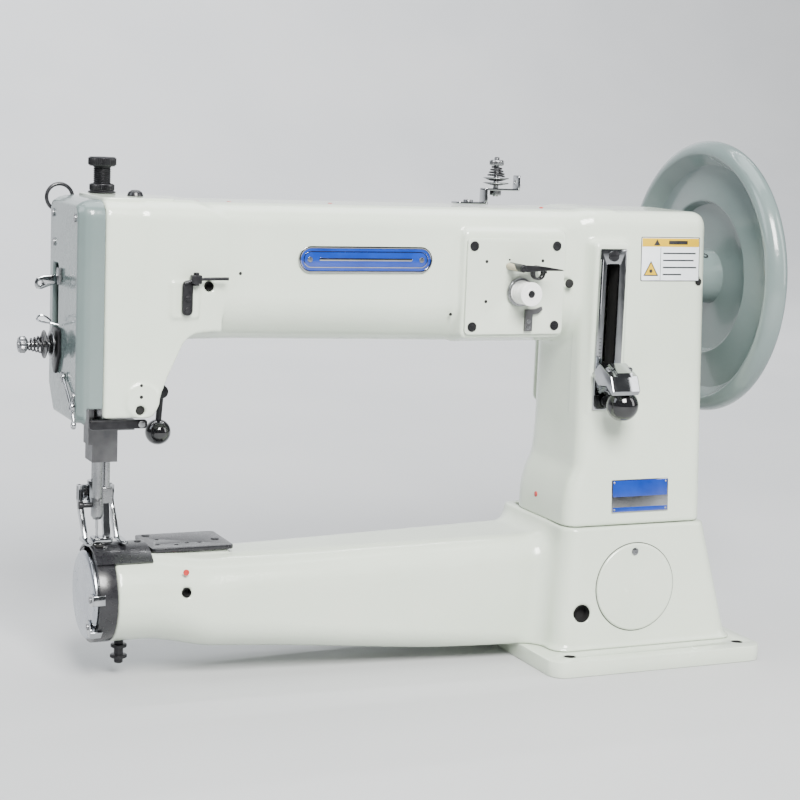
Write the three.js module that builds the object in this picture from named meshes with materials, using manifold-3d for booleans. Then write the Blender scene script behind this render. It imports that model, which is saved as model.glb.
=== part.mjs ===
// Heavy cylinder-arm leather sewing machine, modelled in millimetres, +Z up.
// Origin: on the underside of the base plate, midway along the plate, in the plane of the main shaft.
// +X runs along the arm towards the handwheel, -Y is the side the operator sits at.
import * as THREE from 'three';
import { mergeVertices } from 'three/addons/utils/BufferGeometryUtils.js';
import Module from 'manifold-3d';

const wasm = await Module();
wasm.setup();

// ---------------------------------------------------------------- driving dimensions
const GAP = 0.3;             // clearance kept between neighbouring pieces
const HEAD_X = -489.5;       // head datum plane, from which the needle-end pieces are placed
const NEEDLE_X = -5;         // needle bar axis, from the head datum
const SHAFT_Z = 347;         // main shaft height
const HOOK_Z = 75;           // lower (hook) shaft height
const SEAM_Z = 126;          // joint between the bed casting and the arm casting
const ARM_TOP_Z = 411;
const ARM_LOW_Z = 291;
const HEAD_LOW_Z = 235;
const FRONT_Y = -57;         // front face of the head
const BACK_Y = 44;           // back face of head, arm and column
const WALL = 7;              // casting wall
const PLATE = { length: 221, front: -118, back: 88, thickness: 14.5, radius: 12, holeRadius: 5.5 };
const NOSE_RADIUS = 41;      // outside of the cylinder arm at its end
const SHAFT_RADIUS = 9;
const WHEEL = { radius: 128.3, hub: 76.3, rim: 84, web: 92, floor: 100, outboard: 134.5 };

// ---------------------------------------------------------------- materials
function material(color, roughness, metalness) {
  return () => new THREE.MeshStandardMaterial({ color, roughness, metalness });
}
const ivory = material('#dfe2d6', 0.28, 0.0);
const greyGreen = material('#8d9a98', 0.25, 0.1);
const black = material('#17181a', 0.35, 0.6);
const steel = material('#8f9192', 0.35, 1.0);
const chrome = material('#c9ccd0', 0.12, 1.0);
const springSteel = material('#2a2c2e', 0.35, 0.9);
const brass = material('#b5965a', 0.35, 1.0);
const iron = material('#5b5d5e', 0.55, 0.9);
const ballPlastic = material('#0c0c0d', 0.08, 0.0);
const threadWhite = material('#f1f1ec', 0.8, 0.0);

// ---------------------------------------------------------------- solids
function solid(geometry) {
  const bare = geometry.index ? geometry.clone() : geometry;
  bare.deleteAttribute('normal');
  bare.deleteAttribute('uv');
  const merged = mergeVertices(bare, 1e-4);
  const corners = merged.attributes.position.array;
  const kept = [];
  const index = merged.index.array;
  for (let i = 0; i < index.length; i += 3) {
    const [a, b, c] = [index[i], index[i + 1], index[i + 2]];
    if (a !== b && b !== c && c !== a) kept.push(a, b, c);
  }
  if (signedVolume(corners, kept) < 0) kept.reverse();
  const mesh = new wasm.Mesh({
    numProp: 3,
    vertProperties: new Float32Array(corners),
    triVerts: new Uint32Array(kept),
  });
  return new wasm.Manifold(mesh);
}

function signedVolume(corners, index) {
  const [p, q, r] = [new THREE.Vector3(), new THREE.Vector3(), new THREE.Vector3()];
  let sum = 0;
  for (let i = 0; i < index.length; i += 3) {
    p.fromArray(corners, 3 * index[i]);
    q.fromArray(corners, 3 * index[i + 1]);
    r.fromArray(corners, 3 * index[i + 2]);
    sum += p.dot(q.cross(r));
  }
  return sum;
}

function geometryOf(body) {
  const { vertProperties, triVerts } = body.getMesh();
  const geometry = new THREE.BufferGeometry();
  geometry.setAttribute('position', new THREE.BufferAttribute(vertProperties, 3));
  geometry.setIndex(new THREE.BufferAttribute(triVerts, 1));
  geometry.computeVertexNormals();
  return geometry;
}

function piece(group, name, body, makeMaterial) {
  const mesh = new THREE.Mesh(geometryOf(body), makeMaterial());
  mesh.name = name;
  group.add(mesh);
  return mesh;
}

const union = (first, ...rest) => rest.reduce((sum, next) => sum.add(next), first);
const minus = (first, ...rest) => rest.reduce((sum, next) => sum.subtract(next), first);

function toAxis(geometry, axis) {
  if (axis === 'x') geometry.rotateZ(-Math.PI / 2);
  if (axis === 'z') geometry.rotateX(Math.PI / 2);
  return geometry;
}

// A block between two opposite corners.
function block(x0, x1, y0, y1, z0, z1) {
  const box = new THREE.BoxGeometry(x1 - x0, y1 - y0, z1 - z0);
  box.translate((x0 + x1) / 2, (y0 + y1) / 2, (z0 + z1) / 2);
  return solid(box);
}

// A round bar along an axis: from and to are its ends on that axis, (u, v) its place on the other two.
function rod(axis, from, to, u, v, radius, segments = 16, endRadius = radius) {
  const bar = new THREE.CylinderGeometry(endRadius, radius, to - from, segments);
  toAxis(bar, axis);
  const middle = (from + to) / 2;
  const place = { x: [middle, u, v], y: [u, middle, v], z: [u, v, middle] }[axis];
  bar.translate(...place);
  return solid(bar);
}

// A turned piece: profile holds [radius, position along the axis], and at is the axis's place.
function turned(axis, profile, segments = 32, at = [0, 0, 0]) {
  const points = profile.map(([radius, along]) => new THREE.Vector2(radius, along));
  const lathe = toAxis(new THREE.LatheGeometry(points, segments), axis);
  return solid(lathe.translate(...at));
}

function ring(axis, from, to, u, v, outer, inner, segments = 20) {
  return minus(
    rod(axis, from, to, u, v, outer, segments),
    rod(axis, from - 1, to + 1, u, v, inner, segments),
  );
}

function ball(x, y, z, radius, segments = 14) {
  const sphere = new THREE.SphereGeometry(radius, segments, segments / 2);
  sphere.rotateX(Math.PI / 2);
  sphere.translate(x, y, z);
  return solid(sphere);
}

// A flat outline in the plane across an axis, given thickness along it. Points are [u, v] on the other
// two axes in x, y, z order; holes are [u, v, radius].
function slab(axis, from, to, outline, holes = []) {
  const shape = Array.isArray(outline)
    ? new THREE.Shape(outline.map(([u, v]) => new THREE.Vector2(u, v)))
    : outline;
  for (const [u, v, radius] of holes) {
    shape.holes.push(new THREE.Path().absarc(u, v, radius, 0, 2 * Math.PI, true));
  }
  const flat = new THREE.ExtrudeGeometry(shape, { depth: to - from, bevelEnabled: false, curveSegments: 4 });
  flat.translate(0, 0, from);
  const swap = {
    x: new THREE.Matrix4().set(0, 0, 1, 0, 1, 0, 0, 0, 0, 1, 0, 0, 0, 0, 0, 1),
    y: new THREE.Matrix4().set(1, 0, 0, 0, 0, 0, 1, 0, 0, 1, 0, 0, 0, 0, 0, 1),
    z: new THREE.Matrix4(),
  }[axis];
  return solid(flat.applyMatrix4(swap));
}

function roundedRectangle(u0, u1, v0, v1, radius) {
  const shape = new THREE.Shape();
  shape.absarc(u1 - radius, v0 + radius, radius, -Math.PI / 2, 0);
  shape.absarc(u1 - radius, v1 - radius, radius, 0, Math.PI / 2);
  shape.absarc(u0 + radius, v1 - radius, radius, Math.PI / 2, Math.PI);
  shape.absarc(u0 + radius, v0 + radius, radius, Math.PI, 1.5 * Math.PI);
  return shape;
}

// A bar with round ends between two points of the plane across an axis.
function link(axis, from, to, [u0, v0, r0], [u1, v1, r1]) {
  const angle = Math.atan2(v1 - v0, u1 - u0);
  const shape = new THREE.Shape();
  shape.absarc(u1, v1, r1, angle - Math.PI / 2, angle + Math.PI / 2);
  shape.absarc(u0, v0, r0, angle + Math.PI / 2, angle + 1.5 * Math.PI);
  return slab(axis, from, to, shape);
}

// A straight round bar between any two points.
function strut(start, end, radius, segments = 12, endRadius = radius) {
  const [a, b] = [new THREE.Vector3(...start), new THREE.Vector3(...end)];
  const along = b.clone().sub(a);
  const bar = new THREE.CylinderGeometry(endRadius, radius, along.length(), segments);
  bar.applyQuaternion(new THREE.Quaternion().setFromUnitVectors(new THREE.Vector3(0, 1, 0), along.normalize()));
  bar.translate(...a.add(b).multiplyScalar(0.5));
  return solid(bar);
}

// A round wire along a smooth curve through the given points.
function wire(points, radius, steps) {
  const path = new THREE.CatmullRomCurve3(points.map((p) => new THREE.Vector3(...p)));
  const section = new THREE.Shape().absarc(0, 0, radius, 0, 2 * Math.PI);
  return solid(new THREE.ExtrudeGeometry(section, { steps, extrudePath: path, curveSegments: 4 }));
}

// A coil spring wound about +Z from z0 to z1, its radius going from r0 to r1.
function coil(x, y, z0, z1, r0, r1, turns, wireRadius, stepsPerTurn = 8) {
  const points = [];
  const count = turns * stepsPerTurn;
  for (let i = 0; i <= count; i++) {
    const t = i / count;
    const angle = 2 * Math.PI * turns * t;
    const radius = r0 + (r1 - r0) * t;
    points.push([x + radius * Math.cos(angle), y + radius * Math.sin(angle), z0 + (z1 - z0) * t]);
  }
  const path = new THREE.CatmullRomCurve3(points.map((p) => new THREE.Vector3(...p)));
  const section = new THREE.Shape();
  for (let k = 0; k < 5; k++) {
    const angle = (2 * k * Math.PI) / 5;
    const corner = [wireRadius * Math.cos(angle), wireRadius * Math.sin(angle)];
    if (k === 0) section.moveTo(...corner);
    else section.lineTo(...corner);
  }
  return solid(new THREE.ExtrudeGeometry(section, { steps: count, extrudePath: path }));
}

// A body lofted through rounded rectangles along an axis. Each section is
// { at, u: [low, high], v: [low, high], r: [lowLow, highLow, highHigh, lowHigh] } or one r for all four.
function loft(axis, sections, cornerSteps = 3) {
  const rings = sections.map(({ at, u, v, r }) => {
    const radii = Array.isArray(r) ? r : [r, r, r, r];
    const centres = [
      [u[0] + radii[0], v[0] + radii[0]],
      [u[1] - radii[1], v[0] + radii[1]],
      [u[1] - radii[2], v[1] - radii[2]],
      [u[0] + radii[3], v[1] - radii[3]],
    ];
    const points = [];
    centres.forEach(([cu, cv], corner) => {
      for (let i = 0; i <= cornerSteps; i++) {
        const angle = Math.PI + (corner + i / cornerSteps) * (Math.PI / 2);
        points.push([cu + radii[corner] * Math.cos(angle), cv + radii[corner] * Math.sin(angle), at]);
      }
    });
    return points;
  });
  const place = { x: ([p, q, s]) => [s, p, q], y: ([p, q, s]) => [p, s, q], z: ([p, q, s]) => [p, q, s] }[axis];
  const count = rings[0].length;
  const positions = rings.flat().flatMap(place);
  const index = [];
  for (let k = 0; k + 1 < rings.length; k++) {
    for (let i = 0; i < count; i++) {
      const [a, b] = [k * count + i, k * count + ((i + 1) % count)];
      index.push(a, b, b + count, a, b + count, a + count);
    }
  }
  const last = (rings.length - 1) * count;
  for (let i = 1; i + 1 < count; i++) {
    index.push(0, i + 1, i, last, last + i, last + i + 1);
  }
  const geometry = new THREE.BufferGeometry();
  geometry.setAttribute('position', new THREE.Float32BufferAttribute(positions, 3));
  geometry.setIndex(index);
  return solid(geometry);
}

// ---------------------------------------------------------------- groups
const machine = new THREE.Group();

function assembly(x, y, z) {
  const group = new THREE.Group();
  group.position.set(x, y, z);
  machine.add(group);
  return group;
}
const bed = assembly(0, 0, 0);
const head = assembly(HEAD_X, 0, 0);
const hook = assembly(HEAD_X, 0, HOOK_Z);

// ---------------------------------------------------------------- bed casting
const ARM_ROOT_X = -80;      // where the cylinder arm runs into the block of the bed
const CYLINDER_SECTIONS = [
  { at: HEAD_X + 150, u: [-45, 45], v: [24, 108], r: [26, 26, 30, 30] },
  { at: HEAD_X + 85, u: [-42, 42], v: [27, 108], r: [30, 30, 34, 34] },
  { at: HEAD_X + 62, u: [-41, 41], v: [31, 112], r: [36, 36, 36, 36] },
  { at: HEAD_X + 40, u: [-NOSE_RADIUS, NOSE_RADIUS], v: [34, 116], r: NOSE_RADIUS - 0.01 },
  { at: HEAD_X + 4, u: [-NOSE_RADIUS, NOSE_RADIUS], v: [34, 116], r: NOSE_RADIUS - 0.01 },
];
const CYLINDER_ROOT = { at: ARM_ROOT_X, u: [-54, 48], v: [3, 114], r: [20, 20, 24, 24] };
const COVER = { x: -12.5, z: 70, radius: 40.3, screwX: -14.5, screwZ: 103 };
const BED_FLOOR_Z = 14.5;
const ROCKER = { y: -30, z: 37.5, arm: 20 };   // hook drive rocker: shaft height and crank arm
const BED_LEAN = 6;            // how far the front of the bed block leans back over its height

function blockSection(z, inset, radius) {
  const t = (z - BED_FLOOR_Z) / (SEAM_Z - BED_FLOOR_Z);
  return {
    at: z,
    u: [-92 + 7.5 * t + inset, 93 - 29.5 * t - inset],
    v: [-86 + BED_LEAN * t + inset, 54 - 2 * t - inset],
    r: radius,
  };
}

function bedCasting() {
  const plate = slab('z', 0, PLATE.thickness, roundedRectangle(
    -PLATE.length / 2, PLATE.length / 2, PLATE.front, PLATE.back, PLATE.radius,
  ));
  const body = loft('z', [blockSection(BED_FLOOR_Z - 1, 0, 16), blockSection(SEAM_Z, 0, 12)]);
  const cylinder = loft('x', [...CYLINDER_SECTIONS].reverse().concat(CYLINDER_ROOT));
  const latchBoss = rod('z', 30, 40, HEAD_X + 16, 0, 9);
  const rockerBearings = [-48, -16].map((x) => minus(
    block(x, x + 10, ROCKER.y - 12, ROCKER.y + 12, BED_FLOOR_Z, ROCKER.z + 12),
    rod('x', x - 1, x + 11, ROCKER.y, ROCKER.z, 7 + GAP),
  ));
  const tablePad = block(HEAD_X + 43, HEAD_X + 108, -14, 34, 100, 111);
  const room = loft('z', [blockSection(BED_FLOOR_Z + 0.5, 9, 10), blockSection(SEAM_Z + 1, 9, 8)]);
  const tunnel = loft('x', [
    { at: HEAD_X + 62, u: [-27, 27], v: [42, 99], r: 22 },
    { at: HEAD_X + 150, u: [-35, 35], v: [34, 99], r: 22 },
    { at: ARM_ROOT_X + 12, u: [-43, 38], v: [14, 103], r: 16 },
  ]);
  const hookBore = rod('x', HEAD_X + 3, HEAD_X + 14, 0, HOOK_Z, 33.5, 32);
  const shaftBore = rod('x', HEAD_X + 10, HEAD_X + 70, 0, HOOK_Z, 14 + GAP, 20);
  const feedChannel = block(HEAD_X + 3, HEAD_X + 66, -13, 13, 105.5, 120);
  const feedDrop = block(HEAD_X + 44, HEAD_X + 68, -13, 13, 88, 112);
  const latchBore = rod('z', 25, 46, HEAD_X + 16, 0, 4 + GAP, 12);
  const sidePort = rod('y', -100, -70, COVER.x, COVER.z, 34, 28);
  const smallPort = rod('y', -100, -60, -66.5, 48, 8, 16);
  const armPort = rod('y', -60, -30, HEAD_X + 63, 81, 4, 12);
  const coverScrewHole = rod('y', -100, -70, COVER.screwX, COVER.screwZ, 3 + GAP, 10);
  const footHoles = [[-85, -98], [93, -98], [-85, 70], [93, 70]].map(
    ([x, y]) => rod('z', -1, PLATE.thickness + 1, x, y, PLATE.holeRadius, 16),
  );
  const casting = minus(
    union(plate, body, cylinder, latchBoss, tablePad),
    room, tunnel, hookBore, shaftBore, feedChannel, feedDrop, latchBore,
    block(HEAD_X + 37.4, HEAD_X + 115, -60, 60, 111.2, 120),
    sidePort, smallPort, armPort, coverScrewHole, ...footHoles,
  );
  return union(casting, ...rockerBearings);
}
piece(bed, 'bed_casting', bedCasting(), ivory);

const bedCover = assembly(COVER.x, blockSection(COVER.z, 0, 1).v[0], COVER.z);
bedCover.rotation.x = -Math.atan(BED_LEAN / (SEAM_Z - BED_FLOOR_Z));
piece(bedCover, 'bed_side_cover', minus(
  rod('y', -2.2, -GAP, 0, 0, COVER.radius, 40),
  rod('y', -10, 10, COVER.screwX - COVER.x, COVER.screwZ - COVER.z, 3 + GAP, 12),
), ivory);

// ---------------------------------------------------------------- arm casting
const LIFTER = { x: 26, z: 272 };   // presser lifter pivot, from the head datum
const WINDER_PLATE = { x0: -187, x1: -91, z0: 301, z1: 385, y: -59.5 };
const SLOT = { x0: -60, x1: -33, z0: 232.5, z1: 377.5, y: -71, open0: -53, open1: -40, low: 254, high: 364 };

function columnSection(z, front, left, inset, backRadius) {
  return {
    at: z,
    u: [left + inset, 61 - inset],
    v: [front + inset, BACK_Y - inset],
    r: [12 - inset / 2, 12 - inset / 2, 18 - inset / 2, backRadius - inset],
  };
}

function armCasting() {
  const column = loft('z', [
    columnSection(SEAM_Z + GAP, -76, -82.5, 0, 34),
    columnSection(150, -74.5, -82, 0, 34),
    columnSection(166, -73, -78, 0, 34),
    columnSection(180, -72, -71.5, 0, 34),
    columnSection(209, -70, -69.5, 0, 34),
    columnSection(330, -62, -69.5, 0, 34),
    columnSection(398, -58, -69.5, 0, 34),
    { at: ARM_TOP_Z, u: [-60, 48], v: [-47, 33], r: [10, 10, 14, 24] },
  ]);
  const arm = loft('x', [
    { at: HEAD_X + 8, u: [-55, 42], v: [ARM_LOW_Z + 3, ARM_TOP_Z], r: [40, 40, 16, 16] },
    { at: HEAD_X + 110, u: [-53, 41], v: [ARM_LOW_Z + 3, ARM_TOP_Z], r: [44, 44, 18, 18] },
    { at: -60, u: [-54, 42], v: [ARM_LOW_Z - 3, ARM_TOP_Z - 1], r: [44, 44, 18, 18] },
  ]);
  const headOutline = new THREE.Shape();
  headOutline.moveTo(HEAD_X - 16.5, HEAD_LOW_Z);
  headOutline.lineTo(HEAD_X + 25, HEAD_LOW_Z);
  headOutline.lineTo(HEAD_X + 37, 267);
  headOutline.lineTo(HEAD_X + 48, 291);
  headOutline.quadraticCurveTo(HEAD_X + 53, 303, HEAD_X + 66, 304);
  headOutline.lineTo(HEAD_X + 84, 304);
  headOutline.lineTo(HEAD_X + 84, 396);
  headOutline.lineTo(HEAD_X + 60, ARM_TOP_Z);
  headOutline.lineTo(HEAD_X - 16.5, ARM_TOP_Z);
  const headBlock = slab('y', FRONT_Y, BACK_Y, headOutline);
  const headEnvelope = loft('x', [
    { at: HEAD_X - 17, u: [FRONT_Y, BACK_Y], v: [200, ARM_TOP_Z], r: 15 },
    { at: HEAD_X + 60, u: [FRONT_Y + 1, BACK_Y - 1], v: [200, ARM_TOP_Z], r: 16 },
    { at: HEAD_X + 90, u: [-52, 41], v: [200, ARM_TOP_Z], r: 18 },
  ]);
  const winderPad = loft('y', [
    { at: -59, u: [WINDER_PLATE.x0 - 2, WINDER_PLATE.x1 + 2], v: [298, 392], r: 4 },
    { at: -30, u: [WINDER_PLATE.x0 - 4, WINDER_PLATE.x1 + 4], v: [291, 404], r: 6 },
  ]);
  const slotPad = loft('y', [
    { at: -68.6, u: [SLOT.x0 - 2, SLOT.x1 + 2], v: [SLOT.z0 - 2, SLOT.z1 + 3], r: 3 },
    { at: -50, u: [SLOT.x0 - 6, SLOT.x1 + 5], v: [SLOT.z0 - 6, SLOT.z1 + 8], r: 4 },
  ]);
  const squarePad = slab('y', FRONT_Y - 1.5, FRONT_Y + 6, roundedRectangle(
    HEAD_X + 39, HEAD_X + 65, 314, 347, 4,
  ));
  const roundPad = rod('y', FRONT_Y - 1.5, FRONT_Y + 6, HEAD_X + 18, 249, 15, 24);
  const outside = union(
    column, arm, headBlock.intersect(headEnvelope), winderPad, slotPad, squarePad, roundPad,
    ring('x', 60, 72, 0, SHAFT_Z, 27, 14),
  );

  const columnRoom = loft('z', [
    columnSection(SEAM_Z - 1, -76, -80, WALL, 30),
    columnSection(209, -68, -69.5, WALL, 28),
    columnSection(ARM_TOP_Z - 8, -60, -69.5, WALL, 28),
  ]);
  const armRoom = loft('x', [
    { at: HEAD_X + 60, u: [-46, 34], v: [302, 402], r: [34, 34, 12, 12] },
    { at: -50, u: [-47, 35], v: [299, 402], r: [34, 34, 12, 12] },
  ]);
  const headRoomOutline = [
    [HEAD_X - 20, HEAD_LOW_Z - 5], [HEAD_X + 18, HEAD_LOW_Z - 5], [HEAD_X + 29, 263],
    [HEAD_X + 38, 292], [HEAD_X + 50, 308], [HEAD_X + 70, 309], [HEAD_X + 70, 403], [HEAD_X - 20, 403],
  ];
  const headRoom = slab('y', FRONT_Y + WALL, BACK_Y - 5, headRoomOutline);
  const hollow = union(columnRoom, armRoom, headRoom);

  const presserBoss = rod('z', HEAD_LOW_Z, 262, HEAD_X + 2, 27, 9, 16);
  const presserWeb = block(HEAD_X + 2, HEAD_X + 30, 22, 43, HEAD_LOW_Z, 258);
  const bushingWall = ring('x', HEAD_X + 44, HEAD_X + 62, 0, SHAFT_Z, 20, 14);
  const bushingWeb = minus(
    block(HEAD_X + 48, HEAD_X + 58, FRONT_Y + 3, BACK_Y - 3, 306, 404),
    rod('x', HEAD_X + 40, HEAD_X + 64, 0, SHAFT_Z, 15, 20),
    block(HEAD_X + 40, HEAD_X + 64, -48, -26, 300, 390),
  );
  const pivotBoss = rod('x', HEAD_X + 8, HEAD_X + 56, 0, 392, 7, 14);
  const knobBoss = rod('z', 392, ARM_TOP_Z - 1, HEAD_X + 2, 27, 12, 20);
  const inside = union(presserBoss, presserWeb, bushingWall, bushingWeb, pivotBoss, knobBoss);

  return minus(
    union(minus(outside, hollow), inside),
    rod('x', HEAD_X + 40, HEAD_X + 66, 0, SHAFT_Z, 14 + GAP, 20),
    rod('x', 50, 74, 0, SHAFT_Z, 14 + GAP, 20),
    rod('x', HEAD_X - 2, HEAD_X + 50, 0, 392, 4 + GAP, 12),
    rod('z', HEAD_LOW_Z - 4, 266, HEAD_X + 2, 27, 7 + GAP, 16),
    rod('z', 380, 420, HEAD_X + 2, 27, 7.5 + GAP, 16),
    rod('y', 30, 50, HEAD_X + LIFTER.x, LIFTER.z, 5 + GAP, 14),
    block(SLOT.open0 - 3, SLOT.open1 + 3, -80, -50, SLOT.low - 4, SLOT.high + 4),
    rod('y', -70, -36, -135.5, 338.5, 16, 20),
    rod('y', -80, -55, -84, 345.7, 4, 12),
    rod('y', -80, -50, 52, 347, 3.5, 12),
    rod('y', -62, -48, HEAD_X + 17.7, 239.2, 4, 12),
    slab('y', 20, 60, roundedRectangle(-46, 40, 235, 372, 6)),
  );
}
piece(bed, 'arm_casting', armCasting(), ivory);

piece(bed, 'rear_cover', minus(
  slab('y', BACK_Y + GAP, BACK_Y + 3.3, roundedRectangle(-58, 52, 223, 384, 8)),
  ...[[-52, 229], [46, 229], [-52, 378], [46, 378]].map(([x, z]) => rod('y', 40, 50, x, z, 2.6, 10)),
), ivory);

piece(bed, 'winder_plate', minus(
  slab('y', WINDER_PLATE.y - 2.7, WINDER_PLATE.y, roundedRectangle(
    WINDER_PLATE.x0, WINDER_PLATE.x1, WINDER_PLATE.z0, WINDER_PLATE.z1, 4,
  )),
  rod('y', -70, -50, -135.5, 338.5, 6 + GAP, 16),
), ivory);

piece(bed, 'graduated_plate', minus(
  slab('y', SLOT.y, SLOT.y + 2, roundedRectangle(SLOT.x0, SLOT.x1, SLOT.z0, SLOT.z1, 1)),
  block(SLOT.open0, SLOT.open1, -80, -60, SLOT.low, SLOT.high),
), chrome);

// ---------------------------------------------------------------- face plate
const FACE_X = -38;
const TAKE_UP = { y: -30, z: 318 };
function facePlate() {
  const outside = loft('x', [
    { at: FACE_X, u: [FRONT_Y + 7, BACK_Y - 4], v: [231, ARM_TOP_Z - 5], r: 8 },
    { at: FACE_X + 5, u: [FRONT_Y + 2, BACK_Y - 1.5], v: [229, ARM_TOP_Z - 1.5], r: 12 },
    { at: FACE_X + 10, u: [FRONT_Y, BACK_Y], v: [229, ARM_TOP_Z], r: 15 },
    { at: -16.8, u: [FRONT_Y, BACK_Y], v: [229, ARM_TOP_Z], r: 15 },
  ]);
  const room = loft('x', [
    { at: FACE_X + 4.5, u: [FRONT_Y + 9, BACK_Y - 8], v: [222, ARM_TOP_Z - 10], r: 8 },
    { at: -15, u: [FRONT_Y + 6, BACK_Y - 6], v: [222, ARM_TOP_Z - 8], r: 10 },
  ]);
  const corner = slab('x', -60, 0, [[48, 216], [48, 262], [22, 228], [22, 216]]);
  const cutOut = block(-30, 0, -60, 60, 210, 243);
  const takeUpSlot = slab('x', -60, -30, roundedRectangle(11, 28, 298, 355, 3));
  const tensionHole = rod('x', -60, -30, 10, 288, 4 + GAP, 12);
  const screwHole = rod('x', -60, -30, -16, 264, 2.5 + GAP, 10);
  const stud = rod('x', -35, -19, TAKE_UP.y, TAKE_UP.z, 4, 14);
  return union(minus(outside, room, corner, cutOut, takeUpSlot, tensionHole, screwHole), stud);
}
piece(head, 'face_plate', facePlate(), greyGreen);

// ---------------------------------------------------------------- main shaft line
piece(bed, 'main_shaft', union(
  rod('x', HEAD_X + 20, 139, 0, SHAFT_Z, SHAFT_RADIUS, 18),
  rod('x', 8, 24, 0, SHAFT_Z, 22, 28),
  rod('x', 23, 37, 0, SHAFT_Z - 9, 12, 20),
), steel);
piece(bed, 'front_shaft_bushing', ring('x', HEAD_X + 42, HEAD_X + 62, 0, SHAFT_Z, 14, SHAFT_RADIUS + GAP, 18), brass);
piece(bed, 'rear_shaft_bushing', ring('x', 52, 76, 0, SHAFT_Z, 14, SHAFT_RADIUS + GAP, 18), brass);

function handwheel() {
  const { radius, hub, rim, web, floor, outboard } = WHEEL;
  const profile = [
    [SHAFT_RADIUS + GAP, hub], [25, hub], [25.5, floor], [69, floor], [71.5, web],
    [106, floor], [115.5, rim], [119, rim + 0.3], [124, rim + 2.7], [radius - 1, rim + 7], [radius, rim + 11.5],
    [radius - 0.8, rim + 15.5], [125, rim + 18.5], [119, rim + 20.5], [109, rim + 24], [98, rim + 24.5],
    [72, floor + 12], [72, outboard], [66, outboard - 7], [60, outboard - 7], [54, outboard],
    [54, outboard - 16], [30, outboard - 16], [30, outboard], [SHAFT_RADIUS + GAP, outboard],
  ];
  profile.push(profile[0]);
  return turned('x', profile, 36, [0, 0, SHAFT_Z]);
}
piece(bed, 'handwheel', handwheel(), greyGreen);

const CRANK_RADIUS = 22;
const CRANK_ANGLE = 1.1;     // crank pin past bottom dead centre, towards the front
const crankPin = [-CRANK_RADIUS * Math.sin(CRANK_ANGLE), SHAFT_Z - CRANK_RADIUS * Math.cos(CRANK_ANGLE)];
piece(head, 'needle_crank', union(
  minus(rod('x', 21, 31, 0, SHAFT_Z, 31, 32), rod('x', 0, 40, 0, SHAFT_Z, SHAFT_RADIUS + GAP, 18)),
  rod('x', 9.8, 22, ...crankPin, 5, 14),
), iron);

// ---------------------------------------------------------------- needle bar frame and needle bar
const NEEDLE_BAR_RADIUS = 4;
const FRAME_PIVOT_Z = 392;
const INNER_BAR = { x: 4.5, y: 9, radius: 3.6 };
function needleBarFrame() {
  const lower = block(-12, 9.6, -8, 15, 190, 221);
  const upper = block(-15.5, 9.6, -7, 14, 255, 268);
  const upright = block(-15.5, -11, -8, 8, 205, FRAME_PIVOT_Z);
  const boss = rod('x', -15.5, -5, 0, FRAME_PIVOT_Z, 8, 16);
  const guide = block(-14, 22, -15, -7.5, 218, 227);
  return minus(
    union(lower, upper, upright, boss, guide),
    rod('z', 180, 280, NEEDLE_X, 0, NEEDLE_BAR_RADIUS + GAP, 16),
    rod('z', 180, 280, INNER_BAR.x, INNER_BAR.y, INNER_BAR.radius + GAP, 16),
    rod('x', -20, 0, 0, FRAME_PIVOT_Z, 4 + GAP, 12),
  );
}
piece(head, 'needle_bar_frame', needleBarFrame(), iron);
piece(head, 'frame_pivot_pin', rod('x', -15, 48, 0, FRAME_PIVOT_Z, 4, 14), steel);

const STUD_Z = 292;
piece(head, 'needle_bar', union(
  rod('z', 152, 300, NEEDLE_X, 0, NEEDLE_BAR_RADIUS, 18),
  rod('z', STUD_Z - 6.5, STUD_Z + 6.5, NEEDLE_X, 0, 5.6, 18),
  rod('x', NEEDLE_X + 4, 9.2, 0, STUD_Z, 3, 12),
), steel);
piece(head, 'needle_bar_link', minus(
  link('x', 3, 9.2, [0, STUD_Z, 6.5], [crankPin[0], crankPin[1], 8.5]),
  rod('x', 0, 12, 0, STUD_Z, 3 + GAP, 12),
  rod('x', 0, 12, ...crankPin, 5 + GAP, 14),
), steel);
piece(head, 'needle_clamp', minus(
  union(
    rod('z', 140, 157.6, NEEDLE_X, 0, 5.2, 16),
    block(-17, NEEDLE_X - 4, -2.2, 2.2, 150, 154.4),
    rod('x', -21, -17, 0, 152.2, 3.4, 12),
  ),
  rod('z', 151.7, 160, NEEDLE_X, 0, NEEDLE_BAR_RADIUS + GAP, 16),
  rod('z', 139, 150, NEEDLE_X, 0, 1.2 + GAP, 10),
), black);
piece(head, 'needle', turned('z', [
  [0, 112], [0.3, 113], [1.0, 118], [1.0, 130], [1.2, 133], [1.2, 149.5], [0, 149.5],
], 10, [NEEDLE_X, 0, 0]), chrome);

// ---------------------------------------------------------------- presser feet
function innerFoot() {
  const bar = rod('z', 152, 270, INNER_BAR.x, INNER_BAR.y, INNER_BAR.radius, 16);
  const holder = block(0.8, 10, 5.3, 13.2, 150, 166);
  const shank = slab('x', 1.5, 7.5, [[5, 151], [13, 151], [9, 132], [6, 123], [0, 123], [2, 134]]);
  const sole = minus(
    slab('z', 119.6, 124, roundedRectangle(-9, 8, -6, 9, 2)),
    rod('z', 115, 130, NEEDLE_X, 0, 2.2, 12),
  );
  return union(bar, holder, shank, sole);
}
piece(head, 'inner_foot', innerFoot(), chrome);

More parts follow.
